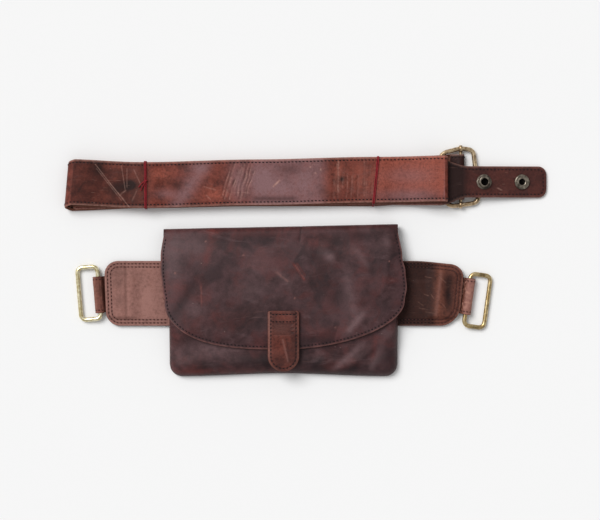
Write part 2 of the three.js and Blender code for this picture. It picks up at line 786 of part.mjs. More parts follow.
// The two halves of the snap, square to the sloping tab end, with their caps on its underside
function addSnap() {
  const halves = [
    { name: 'stud', place: studPlace, geometry: makeStud() },
    { name: 'socket', place: socketPlace, geometry: makeSocket() },
  ];
  for (const { name, place, geometry } of halves) {
    const holder = new THREE.Group();
    holder.position.set(place, tabEndMiddle, tabEndHeight(place));
    holder.rotation.y = Math.atan(tabEndSlope);
    part.add(holder);
    const seat = strapLeather / 2 + gap;
    add(`snap_${name}`, geometry, looks.gunmetal, holder).position.z = seat;
    add(`snap_cap_${name}`, makeCap(), looks.gunmetal, holder).position.z = -seat;
  }
}

// A tie: thread laid flat round all four lanes
function makeTie({ place, lean }) {
  const room = gap + tieThickness / 2 + tieRoom;
  const edges = range(4).map((number) => laneMiddle(number, place));
  const high = laneHeight(0, place) + strapLeather / 2 + gap + tieThickness / 2;
  const low = tieThickness / 2;
  const under = edges.slice(2);
  const corners = [
    { x: Math.min(...under) - halfStrap - room, y: low, round: tieThickness },
    { x: Math.max(...under) + halfStrap + room, y: low, round: tieThickness },
    { x: edges[0] + halfStrap + room, y: high, round: tieThickness },
    { x: edges[0] - halfStrap - room, y: high, round: tieThickness },
  ];
  const offsets = [[-1, -1], [1, -1], [1, 1], [-1, 1]];
  return loft(roundedPath(corners, 4).map(({ x, y, out }) => offsets.map(([side, skin]) => {
    const reach = (skin * tieThickness) / 2;
    const across = x + out.x * reach;
    const leaned = place - (across - strapMiddle) * Math.tan(degToRad(lean));
    return point(leaned + (side * tieWidth) / 2, across, y + out.y * reach);
  })), true);
}

add('band_back', makeBand(0, false), looks.tanLeather);
add('band_front', makeBand(bandLeather + gap, true), looks.tanLeather);
add('back_panel', makeBackPanel(), looks.darkLeather);
add('front_panel', makeFrontPanel(), looks.darkLeather);
add('flap', makeFlap(), looks.darkLeather);
add('closure_tab', makeClosureTab(), looks.darkLeather);
add('closure_snap', makeClosureSnap(), looks.gunmetal);
for (const side of sides) {
  addRingSide(side);
}
add('belt_strap', makeStrap(), looks.strapLeather);
addBuckle();
addSnap();
for (const tie of ties) {
  add(`strap_tie_${tie.name}`, makeTie(tie), looks.thread);
}

export default part;
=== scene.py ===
import math
import time
import bpy
import numpy as np
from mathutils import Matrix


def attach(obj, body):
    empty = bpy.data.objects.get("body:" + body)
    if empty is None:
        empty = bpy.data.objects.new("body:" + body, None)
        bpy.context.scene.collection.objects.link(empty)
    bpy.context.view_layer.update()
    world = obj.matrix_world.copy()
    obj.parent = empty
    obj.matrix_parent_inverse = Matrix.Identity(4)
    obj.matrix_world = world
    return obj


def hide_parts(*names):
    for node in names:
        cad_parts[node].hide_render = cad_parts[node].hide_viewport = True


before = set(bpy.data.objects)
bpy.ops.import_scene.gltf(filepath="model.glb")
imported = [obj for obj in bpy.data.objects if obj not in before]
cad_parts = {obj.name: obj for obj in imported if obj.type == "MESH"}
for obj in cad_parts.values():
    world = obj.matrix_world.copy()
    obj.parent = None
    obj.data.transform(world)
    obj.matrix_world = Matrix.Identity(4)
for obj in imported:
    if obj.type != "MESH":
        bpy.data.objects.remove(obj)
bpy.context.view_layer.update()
startTime = time.time()
mm = 0.001   # shapes are worked out in millimetres and stored in metres


def report(words):
    print(f"[{time.time() - startTime:5.1f} s] {words}")


# Sums on whole arrays

def smoothStep(value, low, high):
    t = np.clip((value - low) / (high - low), 0, 1)
    return t * t * (3 - 2 * t)


def mix(a, b, t):
    return a + (b - a) * t


# Shares from 0 to 1, drawn towards both ends by the pull
def crowded(count, pull=1.0):
    t = np.linspace(0, 1, count)
    return mix(t, 0.5 - 0.5 * np.cos(np.pi * t), pull)


def readTable(rows, places, column):
    keys = np.array([row[0] for row in rows], float)
    values = np.array([row[column] for row in rows], float)
    k = np.clip(np.searchsorted(keys, places), 1, len(keys) - 1)
    return mix(values[k - 1], values[k], smoothStep(places, keys[k - 1], keys[k]))


def unit(v):
    return v / np.maximum(np.linalg.norm(v, axis=-1, keepdims=True), 1e-9)


def space(x, y, z=0.0):
    return np.stack(np.broadcast_arrays(x, y, z), axis=-1).astype(float)


# One octave of value noise, -1 to 1. The large numbers only scramble a cell's place in a repeatable way.
def latticeNoise(points, seed):
    cell = np.floor(points).astype(np.int64)
    t = points - cell
    t = t * t * (3 - 2 * t)
    total = np.zeros(len(points))
    for corner in range(8):
        offset = np.array([corner & 1, corner >> 1 & 1, corner >> 2 & 1])
        k = cell + offset
        mixed = (k[:, 0] * 73856093) ^ (k[:, 1] * 19349663) ^ (k[:, 2] * 83492791) ^ (seed * 26544357)
        mixed = ((mixed ^ (mixed >> 13)) * 1274126177) & 0x7FFFFFFF
        mixed = ((mixed ^ (mixed >> 15)) * 2246822519) & 0x7FFFFFFF
        total += np.prod(np.where(offset == 1, t, 1 - t), axis=1) * (mixed / 0x7FFFFFFF * 2 - 1)
    return total


# Noise whose largest lumps have the given size in millimetres
def roughNoise(points, size, octaves, seed):
    flat = points.reshape(-1, 3) / size
    total = np.zeros(len(flat))
    for k in range(octaves):
        total += latticeNoise(flat * 2 ** k + 17.3 * k, seed + k) * 0.5 ** k
    return total.reshape(points.shape[:-1]) / 1.4


# Marks on a face seen from above: 1 on the mark, falling softly to 0
def oval(x, y, centre, size, lean=0.0):
    turn = math.radians(lean)
    across, up = x - centre[0], y - centre[1]
    a = (across * math.cos(turn) + up * math.sin(turn)) / size[0]
    b = (up * math.cos(turn) - across * math.sin(turn)) / size[1]
    return np.exp(-(a * a + b * b) * 1.2)


def stroke(x, y, start, end, width):
    start, end = np.array(start, float), np.array(end, float)
    run = end - start
    length = np.hypot(*run)
    along = ((x - start[0]) * run[0] + (y - start[1]) * run[1]) / length
    off = ((x - start[0]) * run[1] - (y - start[1]) * run[0]) / length
    past = np.maximum(np.maximum(-along, along - length), 0)
    return np.exp(-(off / width) ** 2 - (past / (2 * width)) ** 2)


# Meshes

def newMesh(name, points, faces, paint=None):
    mesh = bpy.data.meshes.new(name)
    mesh.from_pydata((np.asarray(points, float) * mm).tolist(), [], faces)
    mesh.polygons.foreach_set("use_smooth", [True] * len(mesh.polygons))
    for label, values in (paint or {}).items():
        marks = mesh.attributes.new(label, "FLOAT", "POINT")
        marks.data.foreach_set("value", np.asarray(values, np.float32))
    mesh.update()
    piece = bpy.data.objects.new(name, mesh)
    bpy.context.scene.collection.objects.link(piece)
    return piece


def gridFaces(rows, columns, first=0, closed=False):
    across = columns if closed else columns - 1
    r, c = np.meshgrid(np.arange(rows - 1), np.arange(across), indexing="ij")
    here = (first + r * columns + c).ravel()
    beside = (first + r * columns + (c + 1) % columns).ravel()
    return np.stack([here, beside, beside + columns, here + columns], axis=1)


# Turns all faces of a closed body if it is inside out
def turnedOut(points, faces):
    a, b, c, d = (points[faces[:, k]] for k in range(4))
    volume = np.sum(a * np.cross(b, c)) + np.sum(a * np.cross(c, d))
    return faces[:, ::-1] if volume < 0 else faces


def gridNormals(grid):
    return unit(np.cross(np.gradient(grid, axis=1), np.gradient(grid, axis=0)))


# A leather wall between two matching grids of points, with a rounded cut edge all round
def leatherSheet(name, outer, inner, paint=None, swell=0.2):
    rows, columns = outer.shape[:2]
    r, c = np.arange(rows), np.arange(columns)
    loop = np.concatenate([
        c, r[1:] * columns + columns - 1, (rows - 1) * columns + c[::-1][1:], r[::-1][1:-1] * columns,
    ])
    top, under = outer.reshape(-1, 3), inner.reshape(-1, 3)
    rim, through = top[loop], top[loop] - under[loop]
    along = unit(np.roll(rim, -1, axis=0) - np.roll(rim, 1, axis=0))
    out = unit(np.cross(along, through))
    if np.sum(out * (rim - rim.mean(axis=0))) < 0:
        out = -out
    thick = np.linalg.norm(through, axis=1, keepdims=True)
    angles = np.pi * np.array([0.2, 0.4, 0.6, 0.8])
    rings = [
        top[loop] - through * (0.5 - 0.5 * math.cos(angle)) + out * thick * swell * math.sin(angle)
        for angle in angles
    ]
    points = np.concatenate([top, under] + rings)
    size = rows * columns
    faces = [gridFaces(rows, columns), gridFaces(rows, columns, size)[:, ::-1]]
    between = [2 * size + k * len(loop) + np.arange(len(loop)) for k in range(len(angles))]
    chain = [loop] + between + [size + loop]
    ringPoints = len(angles) * len(loop)
    for above, below in zip(chain, chain[1:]):
        faces.append(np.stack([above, below, np.roll(below, -1), np.roll(above, -1)], axis=1))
    marks = {}
    for label, values in (paint or {}).items():
        flat = np.broadcast_to(values, (rows, columns)).ravel()
        marks[label] = np.concatenate([flat, flat * 0] + [flat[loop]] * len(angles))
    marks["cutEdge"] = np.concatenate([np.zeros(2 * size), np.ones(ringPoints)])
    marks["fleshSide"] = np.concatenate([np.zeros(size), np.ones(size), np.zeros(ringPoints)])
    return newMesh(name, points, turnedOut(points, np.concatenate(faces)).tolist(), marks)


# Points and faces of a wire bent along a path, closed on itself or with two flat ends. It is flattened or
# stretched by the given share in the direction called up.
def wirePart(path, radii, sides=20, closed=True, up=(0.02, 0.03, 1.0), stretch=1.0):
    path = np.asarray(path, float)
    ahead = np.roll(path, -1, axis=0) - np.roll(path, 1, axis=0)
    if not closed:
        ahead[0], ahead[-1] = path[1] - path[0], path[-1] - path[-2]
    ahead = unit(ahead)
    side = unit(np.cross(ahead, np.array(up)))
    lift = np.cross(side, ahead) * stretch
    angles = 2 * np.pi * np.arange(sides) / sides
    radii = np.broadcast_to(np.asarray(radii, float), len(path))[:, None, None]
    rings = path[:, None] + radii * (
        np.cos(angles)[:, None] * side[:, None] + np.sin(angles)[:, None] * lift[:, None])
    points = rings.reshape(-1, 3)
    faces = gridFaces(len(path), sides, closed=True)
    k = np.arange(sides)
    last = (len(path) - 1) * sides
    if closed:
        join = np.stack([last + k, last + (k + 1) % sides, (k + 1) % sides, k], axis=1)
        return points, turnedOut(points, np.concatenate([faces, join])).tolist()
    sound = turnedOut(points, faces)
    ends = [k, (last + k)[::-1]] if np.array_equal(sound, faces) else [k[::-1], last + k]
    return points, sound.tolist() + [end.tolist() for end in ends]


# Points and faces of a turned piece. Its section lists (radius, height) from the axis round and back to it.
def turnedPart(section, place, axis, segments=48):
    axis = unit(np.asarray(axis, float))
    side = unit(np.cross([0, 1.0, 0], axis))
    other = np.cross(axis, side)
    section = np.asarray(section, float)
    angles = 2 * np.pi * np.arange(segments) / segments
    ring = np.cos(angles)[:, None] * side + np.sin(angles)[:, None] * other
    inner = section[1:-1]
    points = np.asarray(place) + inner[:, 0, None, None] * ring + inner[:, 1, None, None] * axis
    points = points.reshape(-1, 3)
    tips = [np.asarray(place) + section[k, 1] * axis for k in (0, -1)]
    k = np.arange(segments)
    after = (k + 1) % segments
    count = len(points)
    base = (len(inner) - 1) * segments
    fans = [[count, b, a] for a, b in zip(k.tolist(), after.tolist())]
    fans += [[count + 1, base + a, base + b] for a, b in zip(k.tolist(), after.tolist())]
    return np.concatenate([points, tips]), gridFaces(len(inner), segments, closed=True).tolist() + fans


# One mesh from several (points, faces) parts
def joinParts(name, parts):
    points, faces, first = [], [], 0
    for partPoints, partFaces in parts:
        points.append(partPoints)
        faces += [[corner + first for corner in face] for face in partFaces]
        first += len(partPoints)
    return newMesh(name, np.concatenate(points), faces)


# Gives a finished piece its material, puts it on its body and hides the CAD nodes that it stands for. The
# slot is not used.
def settle(piece, material, slot, *nodes, body="root"):
    piece.data.materials.append(material)
    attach(piece, body)
    if nodes:
        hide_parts(*nodes)
    return piece


# Materials

# A hex colour as linear light, by the sRGB curve
def hexColour(text):
    channels = [int(text[k:k + 2], 16) / 255 for k in (1, 3, 5)]
    return tuple(c / 12.92 if c <= 0.04045 else ((c + 0.055) / 1.055) ** 2.4 for c in channels) + (1.0,)


# Adds a node, sets its settings and its inputs, and links the inputs that are given as sockets
def addNode(tree, kind, settings=None, inputs=None):
    made = tree.nodes.new("ShaderNode" + kind)
    for key, value in (settings or {}).items():
        setattr(made, key, value)
    for key, value in (inputs or {}).items():
        if isinstance(value, bpy.types.NodeSocket):
            tree.links.new(value, made.inputs[key])
        else:
            made.inputs[key].default_value = value
    return made


# Blends two colours, each a socket or a value, by a share
def blendColours(tree, share, first, second):
    return addNode(tree, "Mix", {"data_type": "RGBA"}, {0: share, 6: first, 7: second}).outputs[2]


def newMaterial(name, fixed):
    material = bpy.data.materials.new(name)
    material.use_nodes = True
    tree = material.node_tree
    shader = tree.nodes["Principled BSDF"]
    for key, value in fixed.items():
        shader.inputs[key].default_value = value
    return material, tree, shader


# Vegetable and chrome tanned cowhide, waxed and oiled, the sort sold as pull-up: the wax moves where the
# hide bends, so it is mottled, paler and greyer on the bends and bellies, and scuffs show as light or rusty
# lines. The grain is smooth with fine pores, the gloss is a soft wax gloss, and the back is a matt suede.
def waxedLeather(name, look):
    material, tree, shader = newMaterial(name, {"IOR": 1.46, "Specular IOR Level": look["gloss"]})
    place = addNode(tree, "TexCoord").outputs["Object"]

    def marks(label):
        return addNode(tree, "Attribute", {"attribute_name": label}).outputs["Fac"]

    def sized(size, detail=4.0, roughness=0.55, distortion=0.0, lean=0.0, stretch=1.0):
        turned = addNode(tree, "Mapping", None, {
            "Vector": place, "Rotation": (0, 0, math.radians(lean)), "Scale": (1 / stretch, 1, 1),
        })
        return addNode(tree, "TexNoise", None, {
            "Vector": turned.outputs[0], "Scale": 1 / (size * mm), "Detail": detail,
            "Roughness": roughness, "Distortion": distortion,
        }).outputs["Fac"]

    def between(value, low, high, to=1.0):
        return addNode(tree, "MapRange", {"interpolation_type": "SMOOTHSTEP"}, {
            "Value": value, "From Min": low, "From Max": high, "To Max": to,
        }).outputs[0]

    def sums(kind, a, b, clamp=False):
        return addNode(tree, "Math", {"operation": kind, "use_clamp": clamp}, {0: a, 1: b}).outputs[0]

    def blended(colour, other, share):
        return blendColours(tree, share, colour, hexColour(other) if isinstance(other, str) else other)

    mottle = sized(look["mottle"], 5.0, 0.6, 0.5)
    fine = sized(look["mottle"] / 6, 6.0, 0.62, 0.3)
    cloudy = sums("ADD", sums("MULTIPLY", mottle, 0.6), sums("MULTIPLY", fine, 0.4))
    first = blended(hexColour(look["dark"]), look["middle"], between(cloudy, 0.36, 0.64))

    # Soft patches where the dye lies redder and where the wax lies darker
    blush = between(sized(look["mottle"] * 0.7, 4.0, 0.6, 0.7, -25), 0.47, 0.66, look["blush"])
    first = blended(first, look["warm"], blush)
    shade = between(sized(look["mottle"] * 0.9, 3.0, 0.55, 0.9, 55), 0.49, 0.68, look["shade"])
    first = blended(first, look["deep"], shade)

    # What the piece's own marks ask for, broken up by the hide's mottle
    broken = between(fine, 0.3, 0.62)
    warm = sums("MULTIPLY", marks("warm"), sums("ADD", 0.45, sums("MULTIPLY", broken, 0.75)), True)
    pale = sums("MULTIPLY", marks("pale"), sums("ADD", 0.72, sums("MULTIPLY", broken, 0.35)), True)
    colour = blended(first, look["warm"], warm)
    colour = blended(colour, look["pale"], pale)
    colour = blended(colour, look["deep"], sums("MULTIPLY", marks("deep"), 1.0, True))

    # Drifts of pale bloom in the wax, and short rubbed lines: their width, lean and stretch, the level of
    # the noise that they start at, and their strength
    drift = between(sized(9, 4.0, 0.6, 0.8, look["drift"], 3.2), 0.56, 0.74, look["bloom"])
    colour = blended(colour, look["pale"], drift)
    rubbedLines = ((0.9, 24, 26, 0.69, 0.34), (0.8, -38, 34, 0.7, 0.26), (0.7, 74, 22, 0.71, 0.2))
    for size, lean, length, low, share in rubbedLines:
        line = between(sized(size, 1.0, 0.4, 0.1, lean, length), low, low + 0.07, share * look["scuffs"])
        gate = between(sized(17, 2.0, 0.5, 0.0, lean * 3), 0.5, 0.66)
        colour = blended(colour, look["rubAndHighlight"], sums("MULTIPLY", line, gate))
    speck = addNode(tree, "TexVoronoi", None, {"Vector": place, "Scale": 1 / (6.5 * mm), "Randomness": 1.0})
    dot = between(speck.outputs["Distance"], 0.085, 0.045, 1.0)
    rare = between(sized(11, 1.0), 0.62, 0.66)
    colour = blended(colour, look["speck"], sums("MULTIPLY", sums("MULTIPLY", dot, rare), look["specks"]))
    pores = between(sized(0.9, 3.0, 0.7), 0.3, 0.75)
    colour = blended(colour, look["deep"], sums("MULTIPLY", sums("SUBTRACT", 1.0, pores), look["pores"]))

    # The marks that blend towards the rub colour are rubbed wear on some pieces and painted highlight on
    # others: the pocket front's left side, the keepers' loops and the lines beside the strap's wrinkles
    edge, flesh, thin = marks("cutEdge"), marks("fleshSide"), marks("wearAndHighlight")
    worn = sums("ADD", 0.35, sums("MULTIPLY", broken, 0.6))
    colour = blended(colour, look["rubAndHighlight"], sums("MULTIPLY", thin, worn, True))
    colour = blended(colour, look["edge"], sums("MULTIPLY", edge, 0.85))
    nap = between(sized(0.6, 4.0, 0.7), 0.25, 0.75)
    colour = blended(colour, blended(hexColour(look["flesh"]), look["fleshLight"], nap), flesh)
    tree.links.new(colour, shader.inputs["Base Color"])

    # Wax gloss: smoother on the dark parts, duller on bloom, edges and suede
    dull = sums("ADD", look["roughness"], sums("MULTIPLY", sums("SUBTRACT", broken, 0.5), 0.12))
    dull = sums("ADD", dull, sums("MULTIPLY", marks("pale"), 0.1))
    dull = sums("ADD", dull, sums("MULTIPLY", sums("MAXIMUM", edge, flesh), 0.35), True)
    tree.links.new(dull, shader.inputs["Roughness"])

    # Grain: a net of fine creases between pebbles about a millimetre wide, and nap on the back
    pebble = addNode(tree, "TexVoronoi", {"feature": "DISTANCE_TO_EDGE"}, {
        "Vector": place, "Scale": 1 / (look["grain"] * mm), "Randomness": 1.0,
    }).outputs["Distance"]
    net = between(pebble, 0.0, 0.16)
    rise = sums("ADD", sums("MULTIPLY", net, 0.55), sums("MULTIPLY", sized(0.45, 4.0, 0.7), 0.8))
    rise = sums("ADD", rise, sums("MULTIPLY", sized(3.2, 5.0, 0.6, 0.6), 1.6))
    bump = addNode(tree, "Bump", None, {
        "Height": rise, "Strength": look["relief"], "Distance": 0.16 * mm,
    })
    tree.links.new(bump.outputs[0], shader.inputs["Normal"])
    return material


waxedLooks = dict(
    gloss=0.3, roughness=0.5, mottle=24, drift=35, bloom=0.3, scuffs=0.5, specks=0.35, pores=0.3, grain=1.1,
    blush=0.28, shade=0.5, relief=0.5, speck="#b7a29b", fleshLight="#7d5243", flesh="#5b372c",
)
pouchLook = dict(
    waxedLooks, dark="#341e1f", middle="#53383a", pale="#745a5c", warm="#652d29", deep="#1c1013",
    rubAndHighlight="#93635b", edge="#4c2c2c", gloss=0.26, mottle=34, blush=0.34, shade=0.58,
)
tabLook = dict(
    waxedLooks, dark="#43211d", middle="#673a32", pale="#83574f", warm="#7d3d30", deep="#241110",
    rubAndHighlight="#a06b5c", edge="#57332b", gloss=0.24, bloom=0.2, mottle=12,
)
wingLook = dict(
    waxedLooks, dark="#371b17", middle="#5c3029", pale="#9e7269", warm="#8c5443", deep="#190706",
    rubAndHighlight="#b28273", edge="#4a2620", gloss=0.18, bloom=0.06, relief=0.6, mottle=16, blush=0.4, shade=0.75,
    pores=0.18, specks=0.2,
)
strapLook = dict(
    waxedLooks, dark="#54241b", middle="#803f33", pale="#8b6769", warm="#9b5040", deep="#220d0a",
    rubAndHighlight="#bf9385", edge="#7d5044", gloss=0.2, bloom=0.12, scuffs=0.8, mottle=14,
)
pouchLeather = waxedLeather("Waxed pull-up cowhide, dark brown", pouchLook)
tabLeather = waxedLeather("Waxed pull-up cowhide, oxblood brown", tabLook)
wingLeather = waxedLeather("Waxed pull-up cowhide, red brown", wingLook)
strapLeather = waxedLeather("Waxed pull-up cowhide, creased red brown", strapLook)


# Twisted thread: polyester or cotton, waxed, with its plies showing as fine slanted lines
def twistedThread(name, dark, light, ply, gloss):
    material, tree, shader = newMaterial(name, {"IOR": 1.5, "Specular IOR Level": gloss, "Roughness": 0.6})
    place = addNode(tree, "TexCoord").outputs["Object"]
    wave = addNode(tree, "TexWave", {"bands_direction": "DIAGONAL"}, {
        "Vector": place, "Scale": 0.5 / (ply * mm), "Distortion": 1.5, "Detail": 2.0, "Detail Scale": 1.0,
    })
    patch = addNode(tree, "TexNoise", None, {"Vector": place, "Scale": 1 / (5 * mm), "Detail": 4.0})
    share = addNode(tree, "Math", {"operation": "MULTIPLY"}, {
        0: wave.outputs["Fac"], 1: patch.outputs["Fac"],
    }).outputs[0]
    lightness = addNode(tree, "MapRange", None, {"Value": share, "From Max": 0.6}).outputs[0]
    colour = blendColours(tree, lightness, hexColour(dark), hexColour(light))
    tree.links.new(colour, shader.inputs["Base Color"])
    bump = addNode(tree, "Bump", None, {
        "Height": wave.outputs["Fac"], "Strength": 0.6, "Distance": 0.1 * mm,
    })
    tree.links.new(bump.outputs[0], shader.inputs["Normal"])
    return material


darkThread = twistedThread("Waxed polyester thread, dark brown", "#0e0607", "#28161a", 0.45, 0.25)
wingThread = twistedThread("Waxed polyester thread, red brown", "#2a0e0c", "#552620", 0.45, 0.35)
redThread = twistedThread("Cotton thread, red, twisted", "#5e0c15", "#a8202c", 0.5, 0.3)


# Bent brass wire, plated and antiqued: brown-black oxide in the low places and dull gold where hands rub it
def antiqueBrass(name, look):
    material, tree, shader = newMaterial(name, {"Metallic": 1.0})
    place = addNode(tree, "TexCoord").outputs["Object"]

    def sized(size, detail, roughness=0.55):
        return addNode(tree, "TexNoise", None, {
            "Vector": place, "Scale": 1 / (size * mm), "Detail": detail,
            "Roughness": roughness, "Distortion": 0.4,
        }).outputs["Fac"]

    def between(value, low, high):
        return addNode(tree, "MapRange", {"interpolation_type": "SMOOTHSTEP"}, {
            "Value": value, "From Min": low, "From Max": high,
        }).outputs[0]

    cloudy, fine = sized(look["patch"], 5.0), sized(0.8, 3.0, 0.7)
    gold, pale, oxide = (hexColour(look[key]) for key in ("gold", "pale", "oxide"))
    tarnish = between(cloudy, *look["tarnish"])
    bright = blendColours(tree, between(sized(3, 4.0), 0.35, 0.65), gold, pale)
    dirty = blendColours(tree, tarnish, bright, oxide)
    pits = addNode(tree, "Math", {"operation": "MULTIPLY"}, {0: between(fine, 0.6, 0.72), 1: 0.55})
    colour = blendColours(tree, pits.outputs[0], dirty, oxide)
    tree.links.new(colour, shader.inputs["Base Color"])
    dull = addNode(tree, "MapRange", None, {"Value": tarnish, "To Min": look["smooth"], "To Max": 0.55})
    tree.links.new(dull.outputs[0], shader.inputs["Roughness"])
    bump = addNode(tree, "Bump", None, {
        "Height": sized(0.9, 4.0, 0.65), "Strength": 0.35, "Distance": 0.08 * mm,
    })
    tree.links.new(bump.outputs[0], shader.inputs["Normal"])
    return material


# Lit and shaded copies of one brass: the left ring's is paler and brighter as painted light, the right
# ring's darker as painted shade
ringBrasses = dict(
    left=antiqueBrass("Antiqued brass wire, paler lit copy", dict(
        patch=12, tarnish=(0.58, 0.78), gold="#cfbf8c", pale="#f2e9c9", oxide="#75663f", smooth=0.3,
    )),
    right=antiqueBrass("Antiqued brass wire, rubbed", dict(
        patch=11, tarnish=(0.5, 0.72), gold="#a88e5f", pale="#d4be90", oxide="#57472f", smooth=0.32,
    )),
)
buckleBrass = antiqueBrass("Antiqued brass wire, warm", dict(
    patch=8, tarnish=(0.5, 0.7), gold="#9c7f60", pale="#dcc5a1", oxide="#483a2b", smooth=0.32,
))
snapBrass = antiqueBrass("Blackened pressed brass, rubbed", dict(
    patch=12, tarnish=(0.46, 0.66), gold="#6e665b", pale="#9c9284", oxide="#3c352f", smooth=0.34,
))
# Near-black brass for the snaps' holes: painted shade in the wells
wellShadeBrass = antiqueBrass("Pressed brass, painted shade in the wells", dict(
    patch=12, tarnish=(0.3, 0.5), gold="#26211e", pale="#3a3430", oxide="#0d0b0a", smooth=0.45,
))
report("materials ready")


# Leathers and the room between them, as in the CAD
gap, drapeGap = 0.3, 0.7
leathers = dict(band=1.6, panel=1.6, flap=1.8, tab=2.2, keeper=1.5, keeperTail=2.0, strap=2.2, skived=1.6)

# Grids of rounded ends stop just short of the tip, where they would have no width
tipShare = 0.985

# Stitches: a thread bead between every two holes, a little proud of its groove and clear of the surface
# that the part lies on
stitch = dict(pitch=3.3, length=2.4, thickness=1.0, slant=0.14, grooveWidth=0.6, clearance=0.02)


# Points and faces of the beads along paths that lie on a face, each with the face's outward directions
def stitchParts(rows):
    profile = np.array([0.35, 0.9, 1.0, 0.9, 0.35])
    sink = np.array([-0.5, -0.05, 0.08, -0.05, -0.5])
    sides = 6
    angles = 2 * np.pi * np.arange(sides) / sides
    bead = gridFaces(len(profile), sides, closed=True)
    tip = len(profile) * sides - sides
    parts = []
    for path, ups in rows:
        run = np.concatenate([[0], np.cumsum(np.linalg.norm(np.diff(path, axis=0), axis=1))])
        count = max(int(round(run[-1] / stitch["pitch"])), 1)
        middles = (np.arange(count) + 0.5) * run[-1] / count
        places = middles[:, None] + np.linspace(-0.5, 0.5, len(profile)) * stitch["length"]
        spots = np.stack([np.interp(places, run, path[:, k]) for k in range(3)], axis=-1)
        lift = unit(np.stack([np.interp(places, run, ups[:, k]) for k in range(3)], axis=-1))
        ahead = unit(spots[:, -1] - spots[:, 0])[:, None]
        side = unit(np.cross(ahead, lift))
        radius = stitch["thickness"] / 2 * profile[:, None]
        spots = spots + lift * (radius * 0.5 + sink[:, None] * stitch["thickness"])
        spots = spots + side * (np.linspace(-1, 1, len(profile)) * stitch["slant"])[:, None]
        rings = spots[:, :, None] + radius[:, None] * (
            np.cos(angles)[:, None] * side[:, :, None] + 0.85 * np.sin(angles)[:, None] * lift[:, :, None])
        points = rings.reshape(-1, 3)
        points[:, 2] = np.maximum(points[:, 2], stitch["clearance"])
        size = len(profile) * sides
        sound = turnedOut(points[:size], bead)
        faces = []
        for k in range(count):
            first = k * size
            ends = [list(range(first, first + sides)), list(range(first + tip, first + size))[::-1]]
            if sound is not bead:
                ends = [end[::-1] for end in ends]
            faces += (sound + first).tolist() + ends
        parts.append((points, faces))
    return parts


# A path on a face given as a height over x and y, with the directions that point out of the face
def onFace(height, x, y):
    step = 0.4
    slopeX = (height(x + step, y) - height(x - step, y)) / (2 * step)
    slopeY = (height(x, y + step) - height(x, y - step)) / (2 * step)
    return space(x, y, height(x, y)), unit(space(-slopeX, -slopeY, 1.0))


# Even points along an open path, moved sideways to its left by an inset
def insetPath(x, y, inset, step=0.8):
    run = np.concatenate([[0], np.cumsum(np.hypot(np.diff(x), np.diff(y)))])
    places = np.linspace(0, run[-1], int(run[-1] / step) + 1)
    x, y = np.interp(places, run, x), np.interp(places, run, y)
    tx, ty = np.gradient(x), np.gradient(y)
    length = np.hypot(tx, ty)
    return x - ty / length * inset, y + tx / length * inset


# How far points are from a path
def pathDistance(x, y, path):
    px, py = path
    flatX, flatY = np.asarray(x, float).ravel(), np.asarray(y, float).ravel()
    nearest = np.full(len(flatX), 1e9)
    for k in range(0, len(px), 40):
        apart = np.hypot(flatX[:, None] - px[None, k:k + 40], flatY[:, None] - py[None, k:k + 40])
        nearest = np.minimum(nearest, apart.min(axis=1))
    return nearest.reshape(np.shape(x))


# The sunk lines that stitches lie in: 1 on a line, falling softly to 0
def grooves(x, y, lines):
    return sum(np.exp(-(pathDistance(x, y, line) / stitch["grooveWidth"]) ** 2) for line in lines)


# Pocket: the levels behind it, its outline and its crowned front
band = dict(
    length=321.4, width=58.0, corner=12.0, lowerRound=5.0, wingStart=118.0, bumpEdge=4.0, margin=4.0,
)
drape = dict(back=24.0, tail=16.0)
pocket = dict(
    half=103.0, taper=0.4, drop=74.5, corner=11.0, arch=2.6, depth=10.0, mouthDepth=7.6, rollIn=12.0,
    crownLoss=0.12,
)
flap = dict(
    half=110.7, foldLine=60.3, foldSlope=0.0196, foldReach=7.0, shoulder=-7.7, belly=42.3, tailEnd=34.0,
    sag=4.0, sagReach=25.7, leftCurve=(3.0, 0.5), rightCurve=(1.9, 0.57), inset=2.3, groove=0.14,
)
# The share of the way down from the fold, and the left and the right side there as shares of the half width
flapSides = [
    (0, 0.968, 0.925), (0.4, 0.997, 0.964), (0.6, 0.997, 0.990), (0.8, 0.984, 1.001), (1, 0.967, 0.983),
]
overBand = 2 * leathers["band"] + 2 * gap
overTail = leathers["flap"] + 2 * gap
halfBand = band["width"] / 2


def backHeight(y):
    edge = halfBand + band["margin"]
    up = smoothStep(y, edge, edge + drape["tail"])
    down = smoothStep(-y, edge, edge + drape["back"])
    return overBand + (overTail - overBand) * up + (gap - overBand) * down


def seamHeight(y):
    return backHeight(y) + leathers["panel"] + gap


def pocketSide(y):
    share = (flap["foldLine"] - y) / (flap["foldLine"] + pocket["drop"])
    return pocket["half"] - pocket["taper"] * np.clip(share, 0, 1)


def pocketLower(x):
    reach = pocketSide(-pocket["drop"])
    into = np.clip(np.abs(x) - (reach - pocket["corner"]), 0, pocket["corner"])
    corner = pocket["corner"] - np.sqrt(pocket["corner"] ** 2 - into ** 2)
    arch = pocket["arch"] * smoothStep(reach - np.abs(x), pocket["corner"], reach)
    return -pocket["drop"] + corner + arch


def crown(x, y):
    depth = mix(pocket["depth"], pocket["mouthDepth"], smoothStep(y, 10, flap["foldLine"]))
    return depth * (1 - pocket["crownLoss"] * (x / pocket["half"]) ** 2)


